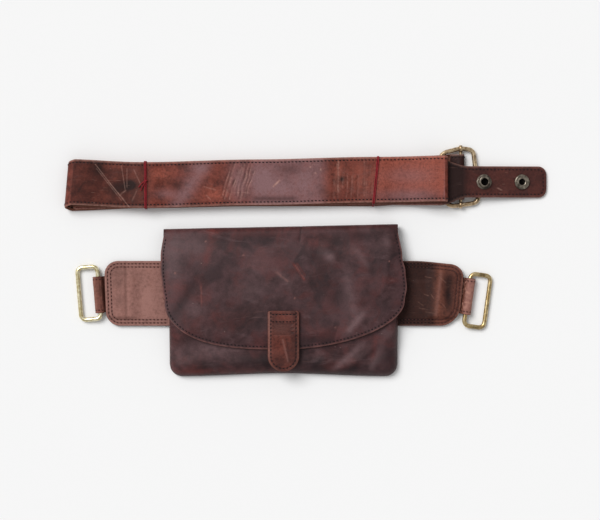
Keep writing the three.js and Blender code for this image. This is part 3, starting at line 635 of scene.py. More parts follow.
def frontHeight(x, y):
    fromSide = np.maximum(pocketSide(y) - np.abs(x), 0)
    fromBelow = np.maximum(
        y + pocket["drop"] - pocket["arch"] * smoothStep(fromSide, pocket["corner"], pocket["half"]), 0)
    inCorner = np.maximum(fromSide, fromBelow) < pocket["corner"]
    fromCorner = pocket["corner"] - np.hypot(pocket["corner"] - fromSide, pocket["corner"] - fromBelow)
    inside = np.maximum(np.where(inCorner, fromCorner, np.minimum(fromSide, fromBelow)), 0)
    edge = np.clip(1 - inside / pocket["rollIn"], 0, 1)
    return seamHeight(y) + crown(x, y) * np.sqrt(1 - edge ** 2)


def foldCentre(x):
    return flap["foldLine"] + flap["foldSlope"] * x - flap["foldReach"]


def pocketPlace(across, down):
    level = mix(-1, 1, across) * pocketSide(-pocket["drop"])
    y = mix(foldCentre(level) - gap, pocketLower(level), down)
    return level * pocketSide(y) / pocketSide(-pocket["drop"]), y


def flapHeight(x, y):
    droop = np.clip((np.abs(x) - flap["half"]) / flap["sagReach"] + 1, 0, 1.2)
    return seamHeight(y) + crown(x, y) + drapeGap + leathers["flap"] - flap["sag"] * droop ** 2


def flapLower(share):
    power, rise = (np.where(share < 0, flap["leftCurve"][k], flap["rightCurve"][k]) for k in (0, 1))
    return flap["shoulder"] - flap["belly"] * (1 - np.abs(share) ** power) ** rise


def flapPlace(across, down):
    share = mix(-1, 1, across)
    y = mix(foldCentre(share * flap["half"]), flapLower(share), down)
    drop = np.clip((flap["foldLine"] - y) / (flap["foldLine"] - flap["shoulder"]), 0, 1)
    reach = np.where(share < 0, readTable(flapSides, drop, 1), readTable(flapSides, drop, 2))
    return share * reach * flap["half"], y


# A leather sheet from its outer grid: the relief lifts it along its own normal, and the thickness goes
# inwards. The way is 1 or -1, whichever points the normals out.
def reliefSheet(name, grid, relief, thickness, paint, way, floor=None):
    normals = way * gridNormals(grid)
    outer = grid + normals * np.asarray(relief)[..., None]
    thickness = np.broadcast_to(np.asarray(thickness, float), grid.shape[:2])[..., None]
    inner = outer - way * gridNormals(outer) * thickness
    if floor is not None:
        inner[..., 2] = np.maximum(inner[..., 2], floor)
    return leatherSheet(name, outer, inner, paint)


# Adds up a table of marks: (kind, depth, ...) with kind oval or stroke and the places in millimetres
def addMarks(x, y, rows):
    total = np.zeros(np.shape(x))
    for kind, amount, *places in rows:
        total = total + amount * {"oval": oval, "stroke": stroke}[kind](x, y, *places)
    return total


# The marks of a hidden leather, evenly worn
def plainPaint(x):
    return dict(warm=0 * x, pale=0.2 + 0 * x, deep=0 * x, wearAndHighlight=0 * x)


# Flap: its raw edge, sewn down both sides and round the lower curve
def flapEdge():
    down = np.linspace(0.02, 1, 160)
    across = np.linspace(0, 1, 500)[1:-1]
    left, right = flapPlace(0 * down, down), flapPlace(1 + 0 * down, down)
    lower = flapPlace(across, 1 + 0 * across)
    return [np.concatenate([left[k], lower[k], right[k][::-1]]) for k in (0, 1)]


flapStitchPath = insetPath(*flapEdge(), flap["inset"])
flapFolds = [
    ("stroke", 0.4, (40, 38), (47, 26), 5), ("stroke", 0.35, (59, 7), (63, -16), 5),
    ("stroke", 0.4, (69, -20), (60, -33), 4), ("stroke", -0.35, (30, 38), (26, 26), 5),
    ("oval", -0.3, (49, 0), (8, 13)), ("oval", -0.35, (79, 22), (5, 11), 10),
    ("stroke", 0.3, (66, 38), (76, 26), 4), ("oval", 0.4, (-62, 22), (30, 22)),
    ("stroke", 0.25, (-20, 42), (12, 8), 6), ("stroke", -0.3, (-83, 4), (-95, -15), 5),
    ("stroke", 0.22, (-96, 40), (-82, 12), 3), ("stroke", -0.3, (16, 62), (14.5, 48), 1.2),
    ("oval", 0.3, (78, -24), (16, 9), 35),
]


def flapRelief(x, y):
    at = space(x, y)
    return (
        0.3 * roughNoise(at, 34, 3, 11) + 0.05 * roughNoise(at, 6, 2, 12) + addMarks(x, y, flapFolds)
        - flap["groove"] * grooves(x, y, [flapStitchPath])
    )


def flapTop(x, y):
    return flapHeight(x, y) + flapRelief(x, y)


def makeFlap():
    across = crowded(250, 0.35)
    tail = np.linspace(0, 1, 12)[:-1]
    turnAngles = np.pi * (1 - np.linspace(0, 1, 27)[:-1])
    down = np.linspace(0, 1, 122)
    x, y = flapPlace(across[None, :], 0 * down[:1, None])
    top = flapHeight(x, y)
    grids = [space(x, mix(flap["tailEnd"], y, tail[:, None]), gap)]
    middle, half = (top + gap) / 2, (top - gap) / 2
    turned = turnAngles[:, None]
    grids.append(space(x, y + flap["foldReach"] * np.sin(turned), middle + half * np.cos(turned)))
    fx, fy = flapPlace(across[None, :], down[:, None])
    grids.append(space(fx, fy, flapHeight(fx, fy)))
    grid = np.concatenate(grids)
    gx, gy = grid[..., 0], grid[..., 1]
    share = [np.zeros(len(tail)), np.linspace(0, 1, len(turnAngles)), np.ones(len(down))]
    relief = flapRelief(gx, gy) * np.concatenate(share)[:, None]
    edge = pathDistance(gx, gy, flapEdge())
    fromFold = grid[..., 1].max(axis=0)[None, :] - gy
    warm = addMarks(gx, gy, [
        ("stroke", 0.9, (9.5, 26), (18, 13.5), 1.1), ("stroke", 0.7, (12.5, 26.5), (19, 17), 0.7),
        ("oval", 0.9, (-63.5, 55.5), (7, 2.6)), ("stroke", 0.55, (-65, 49), (-69.5, 30), 3.4),
        ("oval", 0.5, (95.5, 12), (9, 3)), ("stroke", 0.6, (-74, 7), (-73.4, -10), 1.0),
        ("oval", 0.4, (-96, 6), (9, 4)), ("oval", 0.35, (28, 46), (16, 6)),
        ("oval", 0.3, (-20, 55), (34, 4)), ("oval", 0.3, (-52, -24), (26, 8)),
        ("oval", 0.3, (40, -34), (26, 5), 8),
    ]) + 0.28 * np.exp(-(fromFold / 4.5) ** 2)
    # Paler marks: partly wax paled on the bends, partly painted highlight on the ridges of the flap's folds
    pale = addMarks(gx, gy, [
        ("oval", 0.75, (41.6, 33), (5.5, 4.5), -30), ("stroke", 0.4, (66, 38), (76, 26), 3.2),
        ("oval", 0.5, (92.6, 45), (4.5, 9)), ("stroke", 0.4, (58, 9), (63, -15), 5),
        ("stroke", 0.7, (69, -21), (60, -32), 3), ("oval", 0.5, (-81, 43), (17, 13)),
        ("oval", 0.45, (-100, 24), (8, 22)), ("oval", 0.3, (-25, 26), (17, 11)),
        ("oval", 0.35, (-80, -14), (8, 7)), ("stroke", 0.3, (-6, 20), (3, 11), 3),
        ("oval", 0.3, (-30, 4), (24, 10)),
    ])
    # Darker marks: painted shade in the valleys and dents of the flap's folds, with patches of darker tone
    deep = addMarks(gx, gy, [
        ("oval", 0.65, (28.5, 33), (6, 7)), ("oval", 0.5, (48, 46), (9, 5)),
        ("oval", 0.65, (79, 22), (5, 10), 10), ("oval", 0.55, (69, 52), (15, 5)),
        ("oval", 0.55, (49, -1), (9, 12)), ("oval", 0.45, (92, -12), (12, 9)),
        ("stroke", 0.6, (-83, 4), (-95, -15), 5), ("oval", 0.5, (-49, 30), (9, 5), -20),
        ("oval", 0.4, (-42, -27), (30, 9)), ("oval", 0.35, (27, -20), (17, 13)),
        ("stroke", 0.6, (16, 62), (14.5, 48), 0.9), ("oval", 0.35, (-40, 46), (16, 5)),
        ("oval", 0.4, (88, 30), (7, 14)), ("oval", 0.3, (4, 38), (16, 8)),
        ("oval", 0.35, (75, -2), (8, 9)),
    ])
    scuffs = addMarks(gx, gy, [
        ("oval", 1.3, (-97.3, 18.4), (0.7, 1.0)), ("oval", 1.3, (-36.1, 34.4), (0.9, 0.6)),
        ("oval", 1.4, (10.3, -4.2), (0.6, 0.9)), ("oval", 1.1, (-69.9, 46.8), (0.8, 0.6)),
        ("stroke", 0.3, (-74, 6), (-73.4, -9), 0.4), ("stroke", 0.4, (-5.5, 18.6), (3.5, 11.3), 0.9),
        ("stroke", 0.3, (11, 25), (18.3, 14), 0.5), ("oval", 0.8, (95, 29), (0.7, 0.7)),
        ("oval", 0.9, (46.5, -30.5), (1.0, 0.5)),
    ])
    paint = dict(warm=warm, pale=pale, deep=deep, wearAndHighlight=scuffs + 0.6 * np.exp(-(edge / 0.7) ** 2))
    return reliefSheet("flap_leather", grid, relief, leathers["flap"], paint, -1)


settle(makeFlap(), pouchLeather, "pouch_leather", "flap")
flapStitches = joinParts("flap_stitches", stitchParts([onFace(flapTop, *flapStitchPath)]))
settle(flapStitches, darkThread, "tie_thread")
report("flap sewn")

# Pocket front, turned in at its seams, and the flat back
pocketFolds = [
    ("stroke", 0.6, (56, -69), (94, -40), 3.5), ("stroke", -0.5, (50, -62), (84, -36), 4),
    ("stroke", 0.4, (76, -70), (99, -52), 3), ("stroke", 0.3, (-92, -66), (-60, -56), 5),
    ("oval", 0.4, (-40, -62), (30, 7)), ("stroke", 0.3, (22, -70), (40, -58), 4),
]


def makeFrontPanel():
    across = crowded(220, 0.75)[None, :]
    down = (1 - (1 - np.linspace(0, 1, 130)) ** 1.5)[:, None]
    x, y = pocketPlace(across, down)
    grid = space(x, y, frontHeight(x, y))
    edge = np.minimum(pocketSide(y) - np.abs(x), y - pocketLower(x))
    relief = 0.3 * roughNoise(space(x, y), 30, 3, 31) + addMarks(x, y, pocketFolds)
    relief = relief * smoothStep(edge, 0.5, 9) * smoothStep(-y, -20, 45)
    paint = dict(
        warm=addMarks(x, y, [
            ("oval", 0.65, (-84, -71), (26, 3.2)), ("oval", 0.3, (-30, -70), (40, 4)),
            ("oval", 0.5, (50, -63), (5, 4)), ("stroke", 0.5, (82, -44), (81, -54), 2.5),
            ("oval", 0.4, (-98, -38), (8, 10)),
        ]),
        pale=addMarks(x, y, [
            ("oval", 0.6, (-65, -50), (26, 8)), ("oval", 0.3, (-92, -58), (9, 9)),
            ("stroke", 0.6, (68, -48), (49, -65), 3), ("oval", 0.35, (96, -34), (6, 7)),
            ("stroke", 0.35, (88, -47), (80, -66), 3), ("oval", 0.3, (-14, -48), (20, 5)),
        ]),
        # Darker marks: patches of darker tone, and painted shade along the rim where the front rolls down
        # into its seam
        deep=addMarks(x, y, [
            ("oval", 0.65, (95, -57), (8, 12)), ("oval", 0.45, (-26, -62), (24, 6)),
            ("oval", 0.7, (30, -61), (18, 9)), ("stroke", 0.5, (78, -52), (62, -68), 3),
            ("oval", 0.4, (-76, -62), (9, 3)),
        ]) + 0.5 * np.exp(-(edge / 1.0) ** 2),
        # Lighter rim on the left side only: painted highlight on the side that faces the light
        wearAndHighlight=0.25 * np.exp(-((pocketSide(y) - np.abs(x)) / 0.8) ** 2) * smoothStep(-x, -40, 60),
    )
    floor = np.maximum(seamHeight(y), 0)
    return reliefSheet("pocket_front", grid, relief, leathers["panel"], paint, -1, floor)


def makeBackPanel():
    across = crowded(110, 0.6)[None, :]
    x, y = pocketPlace(across, np.linspace(0, 1, 90)[:, None])
    low = space(x, y, backHeight(y))
    return leatherSheet("pocket_back", low, low + np.array([0, 0, leathers["panel"]]), plainPaint(x))


settle(makeFrontPanel(), pouchLeather, "pouch_leather", "front_panel")
settle(makeBackPanel(), pouchLeather, "pouch_leather", "back_panel")
report("pocket made")

# Closure tab, two leathers sewn together and on the flap
tab = dict(
    half=13.8, top=-15.8, end=-69.8, dip=1.6, topRound=1.6, blunt=0.9995, inset=2.5, crossLine=-25.2,
    boxTop=-18.6, groove=0.22,
)


def tabUnder(y):
    edge = flap["shoulder"] - flap["belly"]
    over = flapHeight(0 * y, y) + drapeGap
    beyond = flapHeight(0.0, edge) + drapeGap - tab["dip"] * smoothStep(-y, -edge, -tab["end"])
    return np.where(y > edge, over, beyond)


def tabSide(y):
    rounding = tab["topRound"]
    into = np.clip(tab["end"] + tab["half"] - y, 0, tab["half"] * tab["blunt"])
    atTop = np.clip(rounding - (tab["top"] - y), 0, rounding)
    lost = rounding - np.sqrt(np.maximum(rounding ** 2 - atTop ** 2, 0))
    return np.sqrt(tab["half"] ** 2 - into ** 2) - lost


def tabEdge():
    y = np.linspace(tab["top"], tab["end"] + tab["half"], 120)
    angle = np.linspace(0, np.pi, 120)[1:-1]
    x = np.concatenate([0 * y - tab["half"], -tab["half"] * np.cos(angle), 0 * y + tab["half"]])
    return x, np.concatenate([y, tab["end"] + tab["half"] * (1 - np.sin(angle)), y[::-1]])


tabWrinkles = [
    ("stroke", -0.34, (-9 + k % 2, -26.6 - 1.25 * k), (9 - 1.5 * (k % 3), -26.9 - 1.25 * k), 0.5)
    for k in range(9)
]
tabSideLine = insetPath(*tabEdge(), tab["inset"])
tabCross = [
    (np.linspace(-1, 1, 40) * (tab["half"] - tab["inset"] - 0.4), np.full(40, level))
    for level in (tab["boxTop"], tab["crossLine"])
]
tabLines = [tabSideLine] + tabCross


def tabTopFace(x, y):
    edge = tabSide(y) - np.abs(x)
    return (
        tabUnder(y) + leathers["tab"] + addMarks(x, y, tabWrinkles) * smoothStep(edge, 2, 4)
        + 0.1 * roughNoise(space(x, y), 9, 3, 41) - tab["groove"] * grooves(x, y, tabLines)
        - 0.35 * np.exp(-(edge / 0.9) ** 2)
    )


def makeTab():
    angles = np.linspace(0, 1, 46)[1:] * np.pi / 2 * tipShare
    y = np.concatenate([
        np.linspace(tab["top"], tab["end"] + tab["half"], 84),
        tab["end"] + tab["half"] * (1 - np.sin(angles)),
    ])[:, None]
    share = mix(-1, 1, crowded(60, 0.5))[None, :]
    x = share * tabSide(y)
    y = y + 0 * x
    outer = space(x, y, tabTopFace(x, y))
    paint = dict(
        warm=addMarks(x, y, [("oval", 0.5, (-2, -44), (10, 16)), ("oval", 0.4, (3, -22), (9, 3))]),
        # Paler marks: painted highlight down the left edge, which faces the light, and on the lit side of a
        # crease
        pale=addMarks(x, y, [
            ("stroke", 0.7, (-12.4, -20), (-12.4, -56), 1.4), ("stroke", 0.8, (-0.5, -42), (4, -60), 0.8),
            ("oval", 0.4, (-4, -31), (8, 6)),
        ]),
        # Darker marks: painted shade down the right side and in the lower middle, on the shaded side of a
        # crease, in the wrinkles and in the stitch grooves
        deep=addMarks(x, y, [
            ("oval", 0.4, (10, -50), (4, 22)), ("oval", 0.35, (-4, -58), (5, 7)),
            ("stroke", 0.4, (3, -43), (5, -60), 1.4),
        ]) - 1.5 * addMarks(x, y, tabWrinkles) + 0.4 * grooves(x, y, tabLines),
        wearAndHighlight=0.22 * np.exp(-((tabSide(y) - np.abs(x) - 0.6) / 1.0) ** 2),
    )
    return leatherSheet("tab_leather", outer, space(x, y, tabUnder(y)), paint)


settle(makeTab(), tabLeather, "pouch_leather", "closure_tab")
tabRows = [onFace(tabTopFace, *line) for line in tabLines]
settle(joinParts("tab_stitches", stitchParts(tabRows)), darkThread, "tie_thread")
report("closure tab sewn")

# Waist band: two leathers that end in the wings, with the front one raised over the keepers' tails
sides = [
    dict(name="left", way=-1, lean=4.8, edgeLean=2.1, topDrop=0.0, keeperShift=-1.2, ringShift=0.9),
    dict(name="right", way=1, lean=-8.0, edgeLean=-5.5, topDrop=3.4, keeperShift=-2.7, ringShift=-5.4),
]
keeper = dict(
    length=32.4, slack=1.2, tailEnd=24.0, fromEnd=5.6, ringLength=51.2, ringWidth=22.3, ringCorner=4.8,
    wire=3.9,
)
bandRows = dict(insets=(2.3, 5.2), groove=0.2, margin=4.0, ramp=11.0)


def bandPlace(along, across):
    x = along * band["length"] / 2
    corner = band["corner"] + np.where((x > 0) & (across < 0), band["lowerRound"], 0)
    into = np.clip(corner - (band["length"] / 2 - np.abs(x)), 0, corner)
    half = halfBand - corner + np.sqrt(corner ** 2 - into ** 2)
    wing = smoothStep(np.abs(x), band["wingStart"], band["length"] / 2)
    drop, lean = (np.where(x < 0, sides[0][key], sides[1][key]) for key in ("topDrop", "edgeLean"))
    y = across * half - np.maximum(across, 0) * drop * wing
    return x - y * wing * np.tan(np.radians(lean)), y


def bandBump(x, y):
    reach = band["length"] / 2 + keeper["fromEnd"] - keeper["tailEnd"] - bandRows["margin"]
    overEnd = smoothStep(np.abs(x), reach - bandRows["ramp"], reach)
    beside = np.abs(y) - keeper["length"] / 2 - bandRows["margin"]
    return (leathers["keeperTail"] + gap) * overEnd * (1 - smoothStep(beside, 0, band["bumpEdge"]))


def wingEdge(way):
    along = way * np.linspace(0.655, 1, 260)
    across = np.linspace(-1, 1, 100)[1:-1]
    low, end, high = bandPlace(along, -1.0), bandPlace(way + 0 * across, across), bandPlace(along, 1.0)
    x, y = (np.concatenate([low[k], end[k], high[k][::-1]]) for k in (0, 1))
    return (x, y) if way > 0 else (x[::-1], y[::-1])


wingLines = [insetPath(*wingEdge(way), inset) for way in (-1, 1) for inset in bandRows["insets"]]
bandFolds = [
    ("stroke", -0.35, (-142.6, 22), (-142, -20), 1.6), ("stroke", 0.2, (-138, 20), (-137.5, -18), 3),
    ("stroke", 0.4, (142.4, 19), (137.7, -20), 2.0), ("oval", -0.5, (148.4, -3), (4.4, 13)),
    ("stroke", 0.25, (122, 10), (132, -18), 2.5), ("stroke", 0.2, (-128, 18), (-118, -8), 3),
]
wingScratches = [
    ("stroke", 0.22, (128.5, 15), (133.5, 14), 0.35), ("stroke", 0.25, (127.5, -1), (130.5, -2), 0.4),
    ("stroke", 0.22, (133.5, -1.5), (135.4, -4.2), 0.35), ("stroke", 0.19, (122, -8), (126, -11), 0.35),
    ("stroke", 0.22, (123, -13.5), (129.5, -14.5), 0.35), ("stroke", 0.17, (129, -17), (136, -18), 0.35),
    ("stroke", 0.19, (140, 15.5), (146, 10), 0.4), ("stroke", 0.17, (142.5, -9), (146, -12.5), 0.4),
    ("oval", 0.22, (-127, -4.6), (2.2, 0.5)), ("oval", 0.17, (-129.4, 5), (0.6, 1.4)),
    ("stroke", 0.17, (-134.5, -8), (-125.5, -7), 0.4), ("stroke", 0.14, (-122, 12), (-119, 6), 0.4),
]


def bandTopFace(x, y):
    return (
        2 * leathers["band"] + gap + bandBump(x, y) + 0.16 * roughNoise(space(x, y), 16, 3, 51)
        + addMarks(x, y, bandFolds) - bandRows["groove"] * grooves(x, y, wingLines)
    )


def makeBandFront():
    wing = mix(0.62, 1, 1 - (1 - np.linspace(0, 1, 120)) ** 1.3)
    along = np.concatenate([-wing[::-1], np.linspace(-0.62, 0.62, 60)[1:-1], wing])[:, None]
    x, y = bandPlace(along, mix(-1, 1, crowded(90, 0.35))[None, :])
    low = leathers["band"] + gap + bandBump(x, y)
    outer = space(x, y, np.maximum(bandTopFace(x, y), low + 1.0))
    edge = np.minimum(pathDistance(x, y, wingEdge(-1)), pathDistance(x, y, wingEdge(1)))
    left = smoothStep(-x, 0, 1)
    paint = dict(
        warm=addMarks(x, y, [
            ("oval", 0.4, (-118, 8), (5, 18)), ("oval", 0.35, (132, -12), (12, 12)),
            ("stroke", 0.5, (-142.4, 22), (-142, -20), 2.2), ("oval", 0.3, (-150, -18), (9, 6)),
            ("stroke", 0.4, (142.4, 19), (137.7, -20), 2.2), ("oval", 0.5, (130, -24), (8, 3)),
        ]) + 0.25 * left + 0.4 * (1 - left),
        # The left wing is paler overall: painted light on the wing that faces the light
        pale=0.85 * left + addMarks(x, y, [
            ("oval", 0.3, (-124, -8), (9, 12)), ("stroke", 0.35, (142.4, 17), (137.7, -18), 1.6),
            ("oval", 0.3, (124, -6), (10, 14)),
        ]),
        # Darker marks: painted shade in a crease, a dent and the stitch grooves, some darker patches, and
        # over the right wing, darkest next to the pocket, the painted shadow of the flap
        deep=addMarks(x, y, [
            ("stroke", 0.3, (-142.6, 22), (-142, -22), 1.4), ("oval", 0.75, (148.6, -2), (5, 16)),
            ("oval", 0.3, (-149, 9), (5, 5)), ("oval", 0.25, (-148, -6), (4, 6)),
            ("oval", 0.6, (-133.6, 6.7), (0.7, 0.7)), ("oval", 0.6, (-124.9, 6.3), (0.9, 0.7)),
            ("oval", 0.4, (150, 14), (9, 8)), ("oval", 0.3, (-150, 20), (8, 6)),
        ]) + (1 - left) * mix(0.85, 0.2, smoothStep(x, 132, 142)) + 0.4 * grooves(x, y, wingLines),
        wearAndHighlight=0.25 * np.exp(-(edge / 0.8) ** 2) + addMarks(x, y, wingScratches),
    )
    return leatherSheet("band_front_leather", outer, space(x, y, low), paint)


def makeBandBack():
    along = np.concatenate([-crowded(90)[::-1], crowded(90)[1:]])[:, None]
    x, y = bandPlace(along, np.linspace(-1, 1, 40)[None, :])
    low, high = space(x, y, 0.0), space(x, y, leathers["band"])
    return leatherSheet("band_back_leather", low, high, plainPaint(x))


settle(makeBandFront(), wingLeather, "wing_leather", "band_front")
settle(makeBandBack(), wingLeather, "wing_leather", "band_back")
wingRows = [onFace(bandTopFace, *line) for line in wingLines]
settle(joinParts("wing_stitches", stitchParts(wingRows)), wingThread, "tie_thread")
report("waist band sewn")


# Keepers and rings are drawn with the ring's bar as their origin and +X pointing away from the pocket
ringHeight = leathers["keeper"] + gap + keeper["wire"] / 2
ringReach = keeper["ringWidth"] - keeper["wire"]


def toSide(points, side):
    turn = math.radians(side["lean"]) + (math.pi if side["way"] < 0 else 0)
    x = points[..., 0] * math.cos(turn) - points[..., 1] * math.sin(turn)
    y = points[..., 0] * math.sin(turn) + points[..., 1] * math.cos(turn)
    reach = side["way"] * (band["length"] / 2 + keeper["fromEnd"])
    return space(x + reach, y + side["keeperShift"], points[..., 2] + ringHeight)


# A closed outline with rounded corners, given counterclockwise as (x, y, round), in even steps
def roundedLoop(corners, step):
    xs, ys = [], []
    for k, (x, y, rounding) in enumerate(corners):
        before, after = corners[k - 1], corners[(k + 1) % len(corners)]
        coming = unit(np.array([x - before[0], y - before[1]], float))
        going = unit(np.array([after[0] - x, after[1] - y], float))
        turn = math.acos(np.clip(coming @ going, -1, 1))
        setback = rounding * math.tan(turn / 2)
        centre = np.array([x, y]) - coming * setback + rounding * np.array([-coming[1], coming[0]])
        start = math.atan2(-coming[0], coming[1])
        angles = start + np.linspace(0, turn, 16)
        xs.append(centre[0] + rounding * np.cos(angles))
        ys.append(centre[1] + rounding * np.sin(angles))
    x, y = (np.append(np.concatenate(v), v[0][0]) for v in (xs, ys))
    run = np.concatenate([[0], np.cumsum(np.hypot(np.diff(x), np.diff(y)))])
    places = np.linspace(0, run[-1], int(run[-1] / step) + 1)[:-1]
    return np.interp(places, run, x), np.interp(places, run, y)


# A leather strip along stations (x, z, y, half width, thickness), bent in the plane of x and z only
def stripGrids(stations, columns, lean=0.0):
    x, z, y, half, thick = (np.array([row[k] for row in stations], float)[:, None] for k in range(5))
    ax, az = np.gradient(x[:, 0])[:, None], np.gradient(z[:, 0])[:, None]
    length = np.hypot(ax, az)
    ax, az = ax / length, az / length
    across = mix(-1, 1, crowded(columns, 0.3))[None, :]
    return [
        space(x - az * way * thick / 2 + across * half * lean, y + across * half, z + ax * way * thick / 2)
        for way in (1, -1)
    ]


# The keeper's two seams: their inset from its sides, and the stations between which they show
keeperSeam = dict(inset=2.4, first=26, last=58)

# Where the keeper's loop meets its upper and its lower tail: as an angle round the bar, a place along x and
# a share of the loop's radius
keeperTurn = dict(
    upperAngle=118, upperEnd=-1.6, upperRise=0.87, lowerAngle=-112, lowerEnd=-1.5, lowerDrop=0.93,
)


def makeKeeper(side):
    bore = keeper["wire"] / 2 + gap
    loop = bore + leathers["keeper"] / 2
    top = leathers["band"] + gap + leathers["keeperTail"] - ringHeight
    ply, full = leathers["keeperTail"] / 2, leathers["keeper"]
    half = keeper["length"] / 2
    neck = keeper["fromEnd"] - 2 * gap
    stations = []
    for share in np.linspace(0, 1, 26):
        stations.append((mix(-keeper["tailEnd"], -neck, share), top - ply / 2, ply))
    for share in np.linspace(0, 1, 14)[1:-1]:
        t = smoothStep(share, 0, 1)
        x = mix(-neck, keeperTurn["upperEnd"], share)
        stations.append((x, mix(top - ply / 2, loop * keeperTurn["upperRise"], t), mix(ply, full, t)))
    for start, end, count, shift in (
        (keeperTurn["upperAngle"], 90, 6, 0), (90, -90, 34, keeper["slack"]),
        (-90, keeperTurn["lowerAngle"], 5, 0),
    ):
        for angle in np.radians(np.linspace(start, end, count)):
            stations.append((shift + loop * math.cos(angle), loop * math.sin(angle), full))
    for share in np.linspace(0, 1, 12)[1:-1]:
        t = smoothStep(share, 0, 1)
        x = mix(keeperTurn["lowerEnd"], -neck, share)
        stations.append((x, mix(-loop * keeperTurn["lowerDrop"], top - ply * 1.5, t), mix(full, ply, t)))
    for share in np.linspace(0, 1, 26):
        stations.append((mix(-neck, -keeper["tailEnd"], share), top - ply * 1.5, ply))
    outer, inner = stripGrids([(x, z, 0, half, thick) for x, z, thick in stations], 44)
    across = outer[0, :, 1]
    outward = unit(outer - inner)
    shown = smoothStep(outer[..., 0], -neck - 1, -neck + 2)
    dent = np.exp(-((outer[..., 0] - keeperTurn["upperEnd"]) / 0.9) ** 2) * smoothStep(outer[..., 2], 0, 1)
    relief = shown * (0.1 * roughNoise(outer, 5, 3, 61 + side["way"]) - 0.3 * dent)
    outer = outer + outward * relief[..., None]
    # Darker towards the wing and paler away from it: painted shadow where the wing's edge overhangs the
    # keeper
    near = smoothStep(-outer[..., 0], 0.6, 4.5)
    warm, pale, nap = (0.35, 0.15, 0.1) if side["way"] < 0 else (0.9, 0.65, 1.3)
    paint = dict(
        warm=warm + 0 * near, pale=pale * (1 - near), deep=0.6 * near,
        # The far curve of the loop is lighter: partly wear where it bends round the bar, partly painted
        # highlight
        wearAndHighlight=0.35 * smoothStep(outer[..., 0], 2.0, 4.6)
        + nap * np.maximum(roughNoise(outer, 1.8, 2, 66), 0),
    )
    outer, inner = toSide(outer, side), toSide(inner, side)
    piece = leatherSheet(f"keeper_leather_{side['name']}", outer, inner, paint)
    sewn = slice(keeperSeam["first"], keeperSeam["last"])
    level = half - keeperSeam["inset"]
    columns = [int(np.argmin(np.abs(across - way * level))) for way in (-1, 1)]
    rows = [(outer[sewn, k], unit(outer - inner)[sewn, k]) for k in columns]
    return piece, joinParts(f"keeper_stitches_{side['name']}", stitchParts(rows))


def makeRing(side):
    half = (keeper["ringLength"] - keeper["wire"]) / 2
    corner = keeper["ringCorner"]
    x, y = roundedLoop([
        (0, -half, corner), (ringReach, -half, corner), (ringReach, half, corner), (0, half, corner),
    ], 0.7)
    tilt = math.asin((ringHeight - keeper["wire"] / 2) / ringReach)
    path = space(x * math.cos(tilt), y, -x * math.sin(tilt))
    path[:, 1] += side["way"] * (side["ringShift"] - side["keeperShift"])
    wear = roughNoise(path, 9, 3, 71 + side["way"])
    path = toSide(path, side)
    path[:, 2] += np.where(x > ringReach * 0.7, 0, 0.02) * wear
    wire = wirePart(path, keeper["wire"] / 2 * (1 - 0.02 * np.abs(wear)), 28)
    return joinParts(f"ring_wire_{side['name']}", [wire])


for side in sides:
    name = side["name"]
    keeperPiece, keeperStitches = makeKeeper(side)
    settle(keeperPiece, wingLeather, "wing_leather", f"keeper_{name}")
    settle(keeperStitches, wingThread, "tie_thread")
    settle(makeRing(side), ringBrasses[name], "antique_brass", f"ring_{name}", body=f"{name}_ring")
report("keepers and rings made")

# Waist strap, folded in four lanes, top lane 0. Levels are the middle of the leather.
strap = dict(
    width=40.6, middle=101.2, left=-195.8, right=148.0, innerLeft=-188.6, laneGap=0.4,
    leftFlare=2.6, rightFlare=1.8, flareLength=34.0, leftLean=5.0,
    endWidth=27.6, endReach=237.2, endCorner=7.0, taperFrom=141.0, taperTo=166.0, endMiddle=100.6,
)
buckle = dict(
    place=160.0, middle=105.1, barWire=3.0, wire=4.0, width=33.5, length=51.6, eyeWidth=2.6, eyeWall=0.9,
    sewnTail=9.5, rear=0.60, front=0.50,
)
snap = dict(
    width=13.6, stud=180.6, socket=215.1, flange=0.8, collar=10.4, hole=6.2, height=4.0,
    socketHole=5.4, socketHeight=1.7, capWidth=8.5, capHeight=0.9, capRoom=0.5, wellRim=0.1,
)
tie = dict(thickness=1.1, liftLength=17.0, liftFlat=4.3)
ties = [dict(name="left", along=0.208, lean=0.5), dict(name="right", along=0.811, lean=-5.7)]
for one in ties:
    one["place"] = mix(strap["left"], strap["right"], one["along"])

# The share of the way along the strap, and how far each of the four lanes lies off its middle there, in
# strap widths
strapLay = [
    (0.0, -0.022, -0.062, -0.124, -0.150), (0.2, -0.085, -0.082, -0.083, -0.090),
    (0.5, -0.025, -0.025, -0.035, -0.045), (0.8, 0.030, 0.009, -0.016, -0.042),
    (1.0, 0.056, 0.037, -0.030, 0.080),
]

# Over the buckle: how long the upper lanes climb, how far past the bar the tab end stays level, and how far
# before the frame the bottom lane starts to thin
bridge = dict(run=28, past=4, thinFrom=6)

# Millimetres between stations where nothing shows, where fine scratches cross, and on the rest of the top
# lane
laneSteps = dict(hidden=4.0, scratched=0.42, shown=0.85)
scratchedTo = -128.0
halfStrap, strapThick = strap["width"] / 2, leathers["strap"]
lanePitch = strapThick + strap["laneGap"]
barHeight = leathers["skived"] + gap + buckle["barWire"] / 2
frameTilt = math.asin((barHeight - buckle["wire"] / 2) / (buckle["front"] * buckle["width"]))
frameRear = buckle["rear"] * buckle["width"]
bridgeHeight = barHeight + frameRear * math.sin(frameTilt) + buckle["wire"] / 2 + gap + strapThick / 2
bridgeStart = buckle["place"] - frameRear - buckle["wire"] / 2
bridgeEnd = buckle["place"] + bridge["past"]
socketSeat = strapThick / 2 + gap + snap["capHeight"] + gap + snap["capRoom"]
endSlope = (bridgeHeight - socketSeat) / (snap["socket"] - bridgeEnd)
endFlat = snap["socket"] + snap["capWidth"] / 2 + 2


